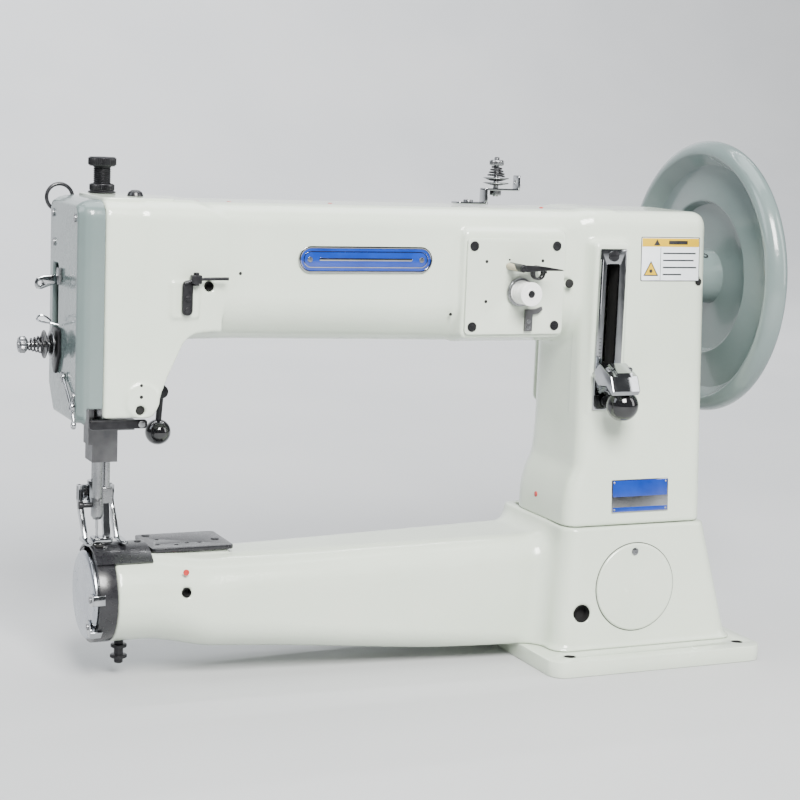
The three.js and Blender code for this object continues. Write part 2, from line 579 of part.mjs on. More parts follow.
const PRESSER = { x: 2, y: 27, radius: 5 };
piece(head, 'presser_bar', union(
  rod('z', 150, 334, PRESSER.x, PRESSER.y, PRESSER.radius, 18),
  rod('z', 288, 300, PRESSER.x, PRESSER.y, 8.5, 18),
  block(PRESSER.x + 4, 34, 23, 31, 290, 298),
), steel);
piece(head, 'presser_bar_bushing', ring('z', 232, 264, PRESSER.x, PRESSER.y, 7, PRESSER.radius + GAP, 18), brass);
function outerFoot() {
  const holder = rod('z', 146, 168, PRESSER.x, PRESSER.y, 8.5, 18);
  const bore = rod('z', 149.7, 170, PRESSER.x, PRESSER.y, PRESSER.radius + GAP, 18);
  const leftArm = slab('x', -14.5, -10.5, [[25, 164], [33, 164], [33, 150], [16, 126], [10, 119.6], [4, 119.6], [12, 132]]);
  const rightArm = slab('x', 13, 17, [[25, 164], [33, 164], [33, 150], [16, 126], [10, 119.6], [4, 119.6], [12, 132]]);
  const yoke = block(-14.5, 17, 27, 33, 150, 164);
  const leftToe = slab('z', 119.6, 122.6, roundedRectangle(-17, -10.5, -14, 14, 3));
  const rightToe = slab('z', 119.6, 122.6, roundedRectangle(13, 19, -14, 14, 3));
  return minus(union(yoke, leftArm, rightArm, leftToe, rightToe, holder), bore);
}
piece(head, 'presser_foot', outerFoot(), chrome);
piece(head, 'presser_spring', coil(PRESSER.x, PRESSER.y, 302, 356, 6.3, 6.3, 6, 0.9), springSteel);
piece(head, 'pressure_screw', union(
  rod('z', 358, 436, PRESSER.x, PRESSER.y, 7.5, 20),
  turned('z', [
    [0, 435.5], [10.6, 435.5], [11.4, 436.5], [11.4, 442.4], [10.8, 443.2], [0, 443.2],
  ], 20, [PRESSER.x, PRESSER.y, 0]),
), black);
piece(head, 'pressure_lock_nut', ring('z', 413, 421, PRESSER.x, PRESSER.y, 10.6, 7.5 + GAP, 20), black);

piece(head, 'presser_lifter', union(
  rod('y', BACK_Y - 8, BACK_Y + 8, LIFTER.x, LIFTER.z, 5, 16),
  link('y', BACK_Y + 1, BACK_Y + 7, [LIFTER.x, LIFTER.z, 8], [64, 240, 6]),
  strut([64, BACK_Y + 4, 240], [62.5, BACK_Y + 7, 208], 2.6, 12),
  ball(62.5, BACK_Y + 7, 204, 11.4),
), ballPlastic);
// ---------------------------------------------------------------- take-up lever
piece(head, 'take_up_lever', minus(
  union(
    rod('x', -31, -24, TAKE_UP.y, TAKE_UP.z, 8, 18),
    link('x', -30, -27, [TAKE_UP.y, TAKE_UP.z, 6], [18, 342, 4]),
    slab('y', 16.6, 19.4, [[-27.5, 338], [-27.5, 345], [-49, 344], [-56, 340], [-56, 334], [-50, 333], [-36, 338]]),
  ),
  rod('x', -40, -10, TAKE_UP.y, TAKE_UP.z, 4 + GAP, 14),
  rod('y', 0, 30, -52, 338.4, 1.7, 10),
), chrome);

// ---------------------------------------------------------------- upper thread tension on the face plate
const TENSION = { y: 10, z: 288 };
const tension = new THREE.Group();
tension.position.set(0, TENSION.y, TENSION.z);
head.add(tension);
piece(tension, 'tension_bracket', union(
  rod('x', -72, -29.5, 0, 0, 2.6, 14),
  rod('x', -33, -29.5, 0, 0, 6, 14),
  slab('x', -41, -38.3, [[-12, 14], [11, 14], [11, -10], [4, -24], [-3, -24], [-12, -8]]),
  rod('x', -44.4, -40, 0, 0, 6, 16),
), black);
piece(tension, 'tension_discs', turned('x', [
  [2.6 + GAP, -48], [7, -48], [11.7, -50], [11.7, -49.2], [6.5, -46.6],
  [11.7, -44.2], [11.7, -43.4], [7, -45.4], [2.6 + GAP, -45.4], [2.6 + GAP, -48],
], 20), black);
const tensionSpring = piece(tension, 'tension_spring', coil(0, 0, 0, 12, 7.5, 4.4, 4, 0.75), springSteel);
tensionSpring.position.x = -50.6;
tensionSpring.rotation.y = -Math.PI / 2;
piece(tension, 'tension_nut', minus(
  turned('x', [[0, -71], [6.5, -71], [7, -70], [7, -65], [5, -64], [0, -64]], 18),
  rod('x', -80, -60, 0, 0, 2.6 + GAP, 14),
), chrome);
piece(tension, 'check_spring', wire(
  [[-39.5, -8, 17], [-45, -7.5, 18.5], [-52, -4, 19], [-56.5, 1, 20.5], [-53, 5, 24], [-47, 3, 23], [-44.5, -1, 19.8]],
  0.8, 18,
), chrome);
piece(head, 'face_thread_guide', union(
  rod('x', -41.6, -38.3, -16, 264, 4.4, 16),
  rod('x', -40, -31, -16, 264, 2.5, 12),
  strut([-40, -17, 264], [-40, -47, 244], 1.3, 8),
  strut([-40, -47, 244], [-40, -53, 230], 1.3, 8),
  ring('x', -41.6, -38.6, -47, 244, 4.5, 2.2, 12),
  ring('x', -41.6, -38.6, -53, 230, 3.4, 1.5, 10),
), chrome);
piece(head, 'top_thread_eyelet', union(
  turned('y', [
    [9.5, 0], [10, -1.1], [11.1, -1.6], [12.2, -1.1], [12.7, 0], [12.2, 1.1], [11.1, 1.6], [10, 1.1], [9.5, 0],
  ], 24, [-29, 46.5, 408]),
  block(-31, -27, 44.9, 48.1, 388, 398),
), black);
piece(head, 'side_thread_guide', union(
  block(48, 53, FRONT_Y - 4.8, FRONT_Y - 1.9, 318, 345),
  block(48, 66, FRONT_Y - 8, FRONT_Y - 1.9, 341, 345),
  rod('x', 60, 92, FRONT_Y - 6, 343, 1.3, 10),
  rod('z', 338, 350, 61, FRONT_Y - 6, 3.4, 12),
), black);

// ---------------------------------------------------------------- hook end of the cylinder arm
const RING_IN = 33;
piece(hook, 'race_ring', minus(
  ring('x', -12, 3.7, 0, 0, NOSE_RADIUS, RING_IN, 40),
  block(-14, 6, -13, 13, 20, 60),
), black);
piece(hook, 'race_cover', minus(
  rod('x', -16.5, -12.3, 0, 0, 37.6, 36),
  rod('x', -14.6, -10, 0, 0, 26, 28),
), chrome);
const raceLatch = piece(hook, 'race_latch', union(
  block(-18.2, -16.8, -4, 4, 29, 43),
  block(-18.2, -8, -4, 4, 41.4, 43),
), chrome);
raceLatch.rotation.x = THREE.MathUtils.degToRad(130);
piece(hook, 'shuttle', minus(
  turned('x', [
    [0, -2], [0, 3.6], [32.4, 3.6], [32.4, -1.6], [24, -1.6], [22, -3.4], [22, -11.6],
    [20, -11.6], [20, -2], [0, -2],
  ], 32),
  slab('x', -1.7, 6, [[10, 60], [60, 60], [60, -20], [26, -14], [27, 6]]),
), steel);
piece(hook, 'lower_bobbin', turned('x', [
  [2.5, -11], [18.5, -11], [18.5, -10], [8, -10], [8, -4], [18.5, -4], [18.5, -3], [2.5, -3], [2.5, -11],
], 20), brass);
piece(hook, 'lower_shaft', union(
  rod('x', 4.4, 12, 0, 0, 12, 20),
  slab('x', 4.4, 9, [[-30, -6], [30, -6], [30, 6], [-30, 6]]),
  rod('x', 11, 514, 0, 0, SHAFT_RADIUS - 1, 18),
), steel);
piece(hook, 'lower_shaft_bushing', ring('x', 16, 62, 0, 0, 14, SHAFT_RADIUS - 1 + GAP, 18), brass);

function needlePlate() {
  const [inner, outer] = [NOSE_RADIUS + GAP, NOSE_RADIUS + 2.8];
  const shell = minus(
    rod('x', -12, 37, 0, 0, outer, 56),
    rod('x', -20, 60, 0, 0, inner, 56),
    slab('x', -20, 60, [[0, -4], [60, 80], [90, 80], [90, -90], [-90, -90], [-90, 80], [-60, 80]]),
    block(-9, -1, -12.6, 12.6, 20, 60),
  );
  return shell;
}
piece(hook, 'needle_plate', needlePlate(), black);
piece(hook, 'feed_dog', minus(
  block(-8, -2, -6.5, 6.5, 36.1, 43.9),
  rod('z', 30, 50, NEEDLE_X, 0, 1.8, 12),
), steel);
piece(hook, 'feed_bar', minus(
  slab('y', -6, 6, [
    [-8, 33.4], [-8, 35.8], [52, 35.8], [52, 22.2], [480, 20], [480, 14], [47, 15], [47, 33.4],
  ]),
  rod('z', 30, 50, NEEDLE_X, 0, 1.8, 12),
), iron);
piece(head, 'table_plate', minus(
  slab('z', 111.5, 115, roundedRectangle(39.5, 112, -18, 40, 4)),
  ...[[53, 17], [48, -2], [64, -5], [75, 0], [86, -1]].map(([x, y]) => rod('z', 100, 120, x, y, 1.8, 10)),
), black);
piece(head, 'latch_screw', union(
  rod('z', 26.7, 45, 16, 0, 4, 14),
  rod('z', 26.7, 29.6, 16, 0, 7, 16),
  rod('z', 20, 27, 16, 0, 4, 14),
  rod('z', 13, 20.5, 16, 0, 7, 16),
), black);

// ---------------------------------------------------------------- hook drive inside the bed
const PINION = { x: 4, teeth: 12 };
const MODULE = 2;
const SEGMENT_TEETH = 36;
function gearOutline(centre, teeth, count, start) {
  const pitch = (2 * Math.PI) / teeth;
  const pitchRadius = (MODULE * teeth) / 2;
  const [root, tip] = [pitchRadius - 1.3 * MODULE, pitchRadius + 0.75 * MODULE];
  const points = [];
  for (let k = 0; k < count; k++) {
    const angle = start + k * pitch;
    [[-0.3, root], [-0.1, tip], [0.1, tip], [0.3, root]].forEach(([share, radius]) => {
      const turn = angle + share * pitch;
      points.push([centre[0] + radius * Math.cos(turn), centre[1] + radius * Math.sin(turn)]);
    });
  }
  return points;
}
const meshAngle = Math.atan2(HOOK_Z - ROCKER.z, -ROCKER.y);
const pinionOutline = gearOutline([0, HOOK_Z], PINION.teeth, PINION.teeth, meshAngle + Math.PI);
const SPAN_TEETH = 10;
const segmentStart = meshAngle - (SPAN_TEETH / 2 - 0.5) * ((2 * Math.PI) / SEGMENT_TEETH);
const segmentOutline = [
  ...gearOutline([ROCKER.y, ROCKER.z], SEGMENT_TEETH, SPAN_TEETH, segmentStart),
  [ROCKER.y, ROCKER.z],
];
piece(bed, 'hook_pinion', minus(
  slab('x', PINION.x, PINION.x + 14, pinionOutline),
  rod('x', 0, 30, 0, HOOK_Z, SHAFT_RADIUS - 1 + GAP, 18),
), steel);
piece(bed, 'rocker_segment', union(
  slab('x', PINION.x, PINION.x + 14, segmentOutline),
  rod('x', PINION.x, PINION.x + 14, ROCKER.y, ROCKER.z, 12, 20),
  link('x', PINION.x + 22, PINION.x + 32, [ROCKER.y, ROCKER.z, 12], [ROCKER.y + ROCKER.arm, ROCKER.z, 8]),
  rod('x', -50, PINION.x + 30, ROCKER.y, ROCKER.z, 7, 18),
  rod('x', PINION.x + 31, 46, ROCKER.y + ROCKER.arm, ROCKER.z, 4, 14),
), iron);
piece(bed, 'connecting_rod', minus(
  link('x', 38, 45, [0, SHAFT_Z, 27], [ROCKER.y + ROCKER.arm, ROCKER.z, 9]),
  rod('x', 30, 50, 0, SHAFT_Z, 22, 28),
  rod('x', 30, 50, ROCKER.y + ROCKER.arm, ROCKER.z, 4 + GAP, 14),
), steel);

// ---------------------------------------------------------------- stitch length lever
const STITCH = { x: -46.5, z: 312, ballDistance: 117.4, drop: THREE.MathUtils.degToRad(36) };
const stitch = assembly(STITCH.x, 0, STITCH.z);
stitch.rotation.x = STITCH.drop;
piece(stitch, 'stitch_lever', union(
  rod('x', -7, 7, 0, 0, 9, 20),
  rod('x', -15.5, 22, 0, 0, 4, 14),
  rod('y', -STITCH.ballDistance, 0, 0, 0, 4, 14, 5),
  ball(0, -STITCH.ballDistance, 0, 14, 16),
), ballPlastic);
piece(stitch, 'stitch_lever_block', slab('x', -15.5, 20.5, [
  [-85.5, 5.3], [-90, 22], [-112, 27], [-124, 20], [-124, 15.5], [-112, 15], [-101, 5.3],
]), chrome);

// ---------------------------------------------------------------- bobbin winder
const WINDER = { x: -135.5, z: 338.5, face: WINDER_PLATE.y - 2.7 };
const winder = new THREE.Group();
winder.position.set(WINDER.x, WINDER.face, WINDER.z);
bed.add(winder);
piece(winder, 'winder_spindle', union(
  rod('y', -25, 22, 0, 0, 3, 14),
  rod('y', -4, -0.6, 0, 0, 12.6, 20),
  rod('y', 9, 16, 0, 0, 14.5, 20),
), black);
piece(winder, 'winder_bobbin', turned('y', [
  [3 + GAP, -24], [10.6, -24], [10.6, -22.4], [9.6, -21.6], [9.6, -6.4], [10.6, -5.8], [10.6, -4.4],
  [3 + GAP, -4.4], [3 + GAP, -24],
], 20), threadWhite);
piece(winder, 'winder_trip_lever', union(
  rod('y', -32.5, -GAP, -9.6, 22.5, 5.5, 20),
  slab('y', -30, -26, [[-9, 18], [-6, 27], [12, 26], [30, 23.5], [30, 21], [12, 20.5], [6, 14]]),
  block(-4, 10, -30, -8, 24, 26.4),
), black);

// ---------------------------------------------------------------- pre-tension on the arm's top
const PRE = { x: -131.7, y: 0, deck: 424 };
const pre = new THREE.Group();
pre.position.set(PRE.x, PRE.y, 0);
bed.add(pre);
piece(pre, 'pretension_bracket', minus(
  union(
    slab('z', ARM_TOP_Z + GAP, ARM_TOP_Z + 2.4, roundedRectangle(-41, -10, -8, 8, 3)),
    block(-13, -10, -6, 6, ARM_TOP_Z + 1, PRE.deck + 1.8),
    slab('z', PRE.deck, PRE.deck + 1.8, roundedRectangle(-13, 22, -6, 6, 2)),
    slab('x', 20, 22, roundedRectangle(-6, 6, PRE.deck + 1, 438, 2)),
  ),
  rod('z', PRE.deck - 5, PRE.deck + 5, 0, 0, 2.4 + GAP, 12),
  rod('x', 15, 30, 0, 432, 1.6, 10),
), chrome);
piece(pre, 'pretension_post', union(
  rod('z', 418.5, 454, 0, 0, 2.4, 14),
  rod('z', 419.6, 423.7, 0, 0, 5.8, 6),
), black);
piece(pre, 'pretension_discs', turned('z', [
  [2.7, 428.6], [5, 428.6], [11.4, 430.2], [11.4, 431], [6, 431.4],
  [11.4, 434.6], [11.4, 435.4], [5, 433.2], [2.7, 433.2], [2.7, 428.6],
], 20), black);
piece(pre, 'pretension_spring', coil(0, 0, 437, 445, 8.2, 4, 3.5, 0.7), springSteel);
piece(pre, 'pretension_nut', ring('z', 446.2, 451.2, 0, 0, 6.2, 2.4 + GAP, 18), chrome);

export default machine;
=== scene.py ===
"""Looks for the cylinder-arm leather sewing machine. Lengths in this script are millimetres in the row
frame unless a name says otherwise; every mesh is turned into metres when it is made."""

import math

import bmesh
import bpy
import numpy as np
import openvdb
from mathutils import Matrix, Vector


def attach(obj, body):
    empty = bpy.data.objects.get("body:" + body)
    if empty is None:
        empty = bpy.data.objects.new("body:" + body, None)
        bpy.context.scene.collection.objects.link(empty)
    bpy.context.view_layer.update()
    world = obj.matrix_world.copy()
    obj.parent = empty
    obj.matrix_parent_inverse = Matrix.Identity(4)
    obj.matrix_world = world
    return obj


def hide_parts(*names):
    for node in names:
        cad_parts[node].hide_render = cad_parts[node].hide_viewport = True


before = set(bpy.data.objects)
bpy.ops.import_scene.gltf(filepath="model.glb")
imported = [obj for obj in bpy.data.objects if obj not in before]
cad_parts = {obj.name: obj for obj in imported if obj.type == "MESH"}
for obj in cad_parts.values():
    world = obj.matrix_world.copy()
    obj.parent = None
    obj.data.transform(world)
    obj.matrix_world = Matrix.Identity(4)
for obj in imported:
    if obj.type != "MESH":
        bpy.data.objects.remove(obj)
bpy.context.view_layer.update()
MM = 0.001
HEAD = -489.5          # head datum, as in the CAD
SHAFT_Z = 347.0
HOOK_Z = 75.0


# ------------------------------------------------------------------ camera, light, floor
def aim_camera():
    place = Vector((-0.91456, -1.53894, 0.48707))
    yaw, pitch, roll = (math.radians(a) for a in (24.36, 8.49, 2.31))
    forward = Vector((math.sin(yaw) * math.cos(pitch), math.cos(yaw) * math.cos(pitch), -math.sin(pitch)))
    right = Vector((math.cos(yaw), -math.sin(yaw), 0))
    up = right.cross(forward)
    r = math.cos(roll) * right + math.sin(roll) * up
    u = -math.sin(roll) * right + math.cos(roll) * up
    data = bpy.data.cameras.new("camera")
    data.sensor_width = 36
    data.lens = 1903.36 * 36 / 800
    data.clip_end = 30
    camera = bpy.data.objects.new("camera", data)
    camera.matrix_world = Matrix((
        (r.x, u.x, -forward.x, place.x), (r.y, u.y, -forward.y, place.y),
        (r.z, u.z, -forward.z, place.z), (0, 0, 0, 1)))
    bpy.context.scene.collection.objects.link(camera)
    bpy.context.scene.camera = camera


def area_light(name, at, target, size, power, tint=(1, 1, 1)):
    data = bpy.data.lights.new(name, "AREA")
    data.shape = "RECTANGLE"
    data.size, data.size_y = size
    data.energy = power
    data.color = tint
    lamp = bpy.data.objects.new(name, data)
    lamp.location = at
    lamp.rotation_euler = (Vector(target) - Vector(at)).to_track_quat("-Z", "Y").to_euler()
    bpy.context.scene.collection.objects.link(lamp)


def studio():
    world = bpy.data.worlds.new("studio")
    world.use_nodes = True
    background = world.node_tree.nodes["Background"]
    background.inputs["Color"].default_value = (0.93, 0.96, 1.0, 1)
    background.inputs["Strength"].default_value = 0.12
    bpy.context.scene.world = world
    area_light("key", (-0.55, -2.0, 1.9), (-0.15, 0, 0.22), (1.1, 1.1), 200, (1.0, 0.99, 0.96))
    area_light("top", (-0.1, 0.1, 2.2), (-0.1, 0, 0.2), (2.2, 1.2), 34, (0.94, 0.97, 1.0))
    area_light("left", (-2.2, 0.1, 1.5), (-0.5, 0, 0.3), (0.9, 1.2), 15, (0.88, 0.93, 1.0))
    area_light("right", (1.7, -1.3, 1.1), (0.0, 0, 0.25), (0.7, 1.8), 22, (1.0, 1.0, 1.0))
    area_light("backdrop", (0.0, 1.7, 3.4), (0.0, 5.2, 1.0), (6.0, 0.8), 560, (0.97, 0.98, 1.0))


# ------------------------------------------------------------------ materials
def value_noise(nodes, links, coordinates, scale, detail=3.0, rough=0.5):
    noise = nodes.new("ShaderNodeTexNoise")
    noise.inputs["Scale"].default_value = scale
    noise.inputs["Detail"].default_value = detail
    noise.inputs["Roughness"].default_value = rough
    links.new(coordinates, noise.inputs["Vector"])
    return noise.outputs["Fac"]


def ramp(nodes, links, factor, low, high, at=(0.3, 0.7)):
    colours = nodes.new("ShaderNodeValToRGB")
    first, last = colours.color_ramp.elements
    first.position, last.position = at
    first.color, last.color = (*low, 1), (*high, 1)
    links.new(factor, colours.inputs["Fac"])
    return colours.outputs["Color"]


def finish(name, dark, light, rough=(0.3, 0.4), metal=0.0, coat=0.0, patch=25.0, grain=None, stretch=(1, 1, 1)):
    """A painted, plated or moulded surface: colour drifts between dark and light over patches of 1/patch m,
    roughness drifts with it, and grain = (scale per m, height in m, detail) raises the surface."""
    material = bpy.data.materials.new("look_" + name)
    material.use_nodes = True
    nodes, links = material.node_tree.nodes, material.node_tree.links
    shader = nodes["Principled BSDF"]
    shader.inputs["Metallic"].default_value = metal
    shader.inputs["Coat Weight"].default_value = coat
    shader.inputs["Coat Roughness"].default_value = 0.06
    place = nodes.new("ShaderNodeTexCoord")
    mapping = nodes.new("ShaderNodeMapping")
    mapping.inputs["Scale"].default_value = stretch
    links.new(place.outputs["Object"], mapping.inputs["Vector"])
    vector = mapping.outputs["Vector"]
    drift = value_noise(nodes, links, vector, patch)
    links.new(ramp(nodes, links, drift, dark, light), shader.inputs["Base Color"])
    smudge = value_noise(nodes, links, vector, patch * 4.0, 4.0, 0.6)
    low, high = rough
    links.new(ramp(nodes, links, smudge, (low,) * 3, (high,) * 3), shader.inputs["Roughness"])
    if grain:
        scale, height, detail = grain
        bump = nodes.new("ShaderNodeBump")
        bump.inputs["Strength"].default_value = 1.0
        bump.inputs["Distance"].default_value = height
        links.new(value_noise(nodes, links, vector, scale, detail), bump.inputs["Height"])
        links.new(bump.outputs["Normal"], shader.inputs["Normal"])
    return material


IVORY = finish("ivory_enamel", (0.60, 0.665, 0.565), (0.65, 0.71, 0.61), (0.16, 0.24), coat=0.5, patch=9,
               grain=(260, 0.00016, 1.5))
PLATE_IVORY = finish("ivory_plate", (0.60, 0.66, 0.565), (0.645, 0.70, 0.605), (0.2, 0.28), coat=0.4, patch=12,
                     grain=(420, 0.00006, 1.5))
GREY = finish("grey_green_enamel", (0.13, 0.175, 0.172), (0.16, 0.205, 0.20), (0.16, 0.24), coat=0.5, patch=10,
              grain=(240, 0.00014, 1.5))
BLACK = finish("black_oxide", (0.010, 0.010, 0.012), (0.026, 0.026, 0.029), (0.28, 0.46), metal=0.55, patch=120,
               grain=(1500, 0.00002, 3))
BLACK_GLOSS = finish("black_enamel", (0.010, 0.010, 0.012), (0.016, 0.016, 0.019), (0.24, 0.34), coat=0.15, patch=60,
                     grain=(700, 0.00002, 2))
STEEL = finish("ground_steel", (0.20, 0.20, 0.205), (0.30, 0.30, 0.305), (0.22, 0.36), metal=1.0, patch=90,
               grain=(900, 0.00001, 3), stretch=(1, 1, 6))
CHROME = finish("chrome", (0.34, 0.35, 0.365), (0.44, 0.45, 0.465), (0.06, 0.14), metal=1.0, patch=50,
                grain=(350, 0.00001, 2))
SATIN = finish("satin_nickel", (0.24, 0.245, 0.255), (0.33, 0.335, 0.345), (0.24, 0.34), metal=1.0, patch=70,
               grain=(1400, 0.00001, 3))
SPRING = finish("spring_steel", (0.05, 0.05, 0.055), (0.11, 0.11, 0.115), (0.22, 0.34), metal=0.9, patch=200,
                grain=(1200, 0.00001, 2))
BRONZE = finish("bronze", (0.42, 0.29, 0.12), (0.55, 0.40, 0.19), (0.28, 0.4), metal=1.0, patch=90,
                grain=(900, 0.00001, 3))
IRON = finish("oiled_iron", (0.10, 0.10, 0.105), (0.17, 0.17, 0.175), (0.34, 0.5), metal=0.85, patch=80,
              grain=(700, 0.00005, 4))
PLASTIC = finish("black_plastic", (0.006, 0.006, 0.007), (0.010, 0.010, 0.011), (0.05, 0.1), coat=0.6, patch=60,
                 grain=(160, 0.00001, 1))
THREAD = finish("white_thread", (0.76, 0.76, 0.73), (0.88, 0.88, 0.85), (0.6, 0.75), patch=400,
                grain=(2600, 0.00008, 2), stretch=(0.12, 1, 0.12))
BOBBIN_WHITE = finish("white_plastic", (0.78, 0.78, 0.77), (0.86, 0.86, 0.85), (0.25, 0.35), coat=0.2, patch=80,
                      grain=(500, 0.00001, 2))
BEIGE = finish("beige_plastic", (0.40, 0.36, 0.26), (0.50, 0.45, 0.33), (0.4, 0.5), patch=160,
               grain=(900, 0.00003, 3))
RED = finish("red_paint", (0.42, 0.02, 0.015), (0.58, 0.04, 0.03), (0.3, 0.4), coat=0.3, patch=300,
             grain=(600, 0.00003, 2))
BLUE = finish("blue_enamel", (0.004, 0.03, 0.25), (0.008, 0.045, 0.33), (0.12, 0.2), coat=0.6, patch=60,
              grain=(500, 0.00001, 2))
YELLOW = finish("label_yellow", (0.60, 0.37, 0.001), (0.66, 0.42, 0.002), (0.35, 0.45), patch=60, grain=(900, 0.00001, 2))
WHITE = finish("label_white", (0.72, 0.76, 0.80), (0.80, 0.83, 0.86), (0.35, 0.45), patch=60, grain=(900, 0.00001, 2))
INK = finish("label_ink", (0.012, 0.012, 0.014), (0.03, 0.03, 0.034), (0.4, 0.5), patch=200, grain=(900, 0.00001, 2))
# painted shade: a matt near-black colour put into holes, ports, slots and the cover's gap, where there is only shade
PAINTED_SHADE = finish("painted_cavity_shade", (0.003, 0.003, 0.003), (0.008, 0.008, 0.008), (0.8, 0.9), patch=90,
              grain=(500, 0.00003, 2))
FLOOR = finish("floor", (0.46, 0.47, 0.48), (0.50, 0.505, 0.51), (0.6, 0.7), patch=2, grain=(300, 0.00002, 2))


# ------------------------------------------------------------------ placing pieces
def put(obj, body, *nodes):
    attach(obj, body)
    if nodes:
        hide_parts(*nodes)
    return obj


def mesh_object(name, points, faces, material, sharp=32.0):
    data = bpy.data.meshes.new(name)
    data.from_pydata([tuple(c * MM for c in p) for p in points], [], faces)
    return dress(name, data, material, sharp)


def dress(name, data, material, sharp=32.0):
    """Links a mesh, shades it smooth, and keeps its edges crisp where its faces meet at more than sharp."""
    work = bmesh.new()
    work.from_mesh(data)
    bmesh.ops.remove_doubles(work, verts=work.verts, dist=1e-7)
    bmesh.ops.recalc_face_normals(work, faces=work.faces)
    limit = math.radians(sharp)
    for edge in work.edges:
        edge.smooth = len(edge.link_faces) == 2 and edge.calc_face_angle(0) < limit
    for face in work.faces:
        face.smooth = True
    work.to_mesh(data)
    work.free()
    data.materials.clear()
    data.materials.append(material)
    obj = bpy.data.objects.new(name, data)
    bpy.context.scene.collection.objects.link(obj)
    return obj


AXES = {
    "x": Matrix(((0, 0, 1, 0), (1, 0, 0, 0), (0, 1, 0, 0), (0, 0, 0, 1))),
    "y": Matrix(((1, 0, 0, 0), (0, 0, 1, 0), (0, 1, 0, 0), (0, 0, 0, 1))),
    "z": Matrix.Identity(4),
}


def softened(profile, size, closed):
    """The profile with each corner cut by two points, so its edges catch the light."""
    count = len(profile)
    result = []
    for i, (r, t) in enumerate(profile):
        if not closed and i in (0, count - 1):
            result.append((r, t))
            continue
        (r0, t0), (r1, t1) = profile[i - 1], profile[(i + 1) % count]
        before, after = math.hypot(r0 - r, t0 - t), math.hypot(r1 - r, t1 - t)
        step = min(size, before * 0.4, after * 0.4)
        if step < 1e-3 or before < 1e-6 or after < 1e-6:
            result.append((r, t))
            continue
        p = (r + (r0 - r) * step / before, t + (t0 - t) * step / before)
        q = (r + (r1 - r) * step / after, t + (t1 - t) * step / after)
        middle = ((p[0] + q[0] + 2 * r) / 4, (p[1] + q[1] + 2 * t) / 4)
        result += [p, middle, q]
    return result


def lathe(name, axis, centre, profile, material, soft=0.4, segments=48, closed=False):
    """Turns (radius, position) pairs about an axis through centre. A closed profile makes a ring."""
    points, faces, rings = [], [], []
    for radius, along in softened(profile, soft, closed):
        if radius < 1e-4:
            rings.append([len(points)])
            points.append((0, 0, along))
            continue
        start = len(points)
        for k in range(segments):
            angle = 2 * math.pi * k / segments
            points.append((radius * math.cos(angle), radius * math.sin(angle), along))
        rings.append(list(range(start, start + segments)))
    pairs = list(zip(rings, rings[1:])) + ([(rings[-1], rings[0])] if closed else [])
    for a, b in pairs:
        for k in range(segments):
            n = (k + 1) % segments
            corners = [a[k % len(a)], a[n % len(a)], b[n % len(b)], b[k % len(b)]]
            unique = list(dict.fromkeys(corners))
            if len(unique) > 2:
                faces.append(unique)
    turn = AXES[axis]
    points = [tuple(turn @ Vector(p) + Vector(centre)) for p in points]
    return mesh_object(name, points, faces, material)


def curve_mesh(name, curve, material, turn=None, sharp=32.0):
    """The mesh of a curve, its lengths in millimetres, moved by turn."""
    shape = bpy.data.objects.new(name, curve)
    bpy.context.scene.collection.objects.link(shape)
    bpy.context.view_layer.update()
    data = bpy.data.meshes.new_from_object(shape.evaluated_get(bpy.context.evaluated_depsgraph_get()))
    bpy.data.objects.remove(shape)
    if turn is not None:
        data.transform(turn)
    data.transform(Matrix.Scale(MM, 4))
    data.name = name
    return dress(name, data, material, sharp)


def prism(name, axis, low, high, outlines, material, bevel=0.5, turn=None):
    """A flat outline with holes, given thickness along an axis and rounded edges. Outlines are in the two
    other axes, in x, y, z order; the first is the outside."""
    bevel = min(bevel, (high - low) * 0.45)
    curve = bpy.data.curves.new(name, "CURVE")
    curve.dimensions = "2D"
    curve.fill_mode = "BOTH"
    curve.extrude = (high - low) / 2 - bevel
    curve.bevel_depth = bevel
    curve.bevel_resolution = 1
    curve.offset = -bevel
    for outline in outlines:
        spline = curve.splines.new("POLY")
        spline.points.add(len(outline) - 1)
        for point, (u, v) in zip(spline.points, outline):
            point.co = (u, v, 0, 1)
        spline.use_cyclic_u = True
    place = AXES[axis] @ Matrix.Translation((0, 0, (low + high) / 2))
    return curve_mesh(name, curve, material, place if turn is None else turn @ place)


def tube(name, points, radius, material, closed=False, resolution=4, smooth=True):
    """A round wire or rod through points, each (x, y, z) or (x, y, z, radius factor)."""
    curve = bpy.data.curves.new(name, "CURVE")
    curve.dimensions = "3D"
    curve.bevel_depth = radius
    curve.bevel_resolution = resolution
    curve.use_fill_caps = not closed
    curve.twist_mode = "MINIMUM"
    kind = "NURBS" if smooth else "POLY"
    spline = curve.splines.new(kind)
    spline.points.add(len(points) - 1)
    for point, p in zip(spline.points, points):
        point.co = (p[0], p[1], p[2], 1)
        point.radius = p[3] if len(p) > 3 else 1.0
    spline.use_cyclic_u = closed
    if smooth:
        spline.order_u = 3
        spline.use_endpoint_u = not closed
        spline.resolution_u = 5
    return curve_mesh(name, curve, material)


def circle(u, v, radius, count=24, start=0.0):
    return [(u + radius * math.cos(start + 2 * math.pi * k / count), v + radius * math.sin(start + 2 * math.pi * k / count))
            for k in range(count)]


def rounded(u0, u1, v0, v1, radius, steps=5):
    points = []
    corners = [(u1 - radius, v1 - radius, 0), (u0 + radius, v1 - radius, 90),
               (u0 + radius, v0 + radius, 180), (u1 - radius, v0 + radius, 270)]
    for cu, cv, begin in corners:
        for k in range(steps + 1):
            angle = math.radians(begin + 90 * k / steps)
            points.append((cu + radius * math.cos(angle), cv + radius * math.sin(angle)))
    return points


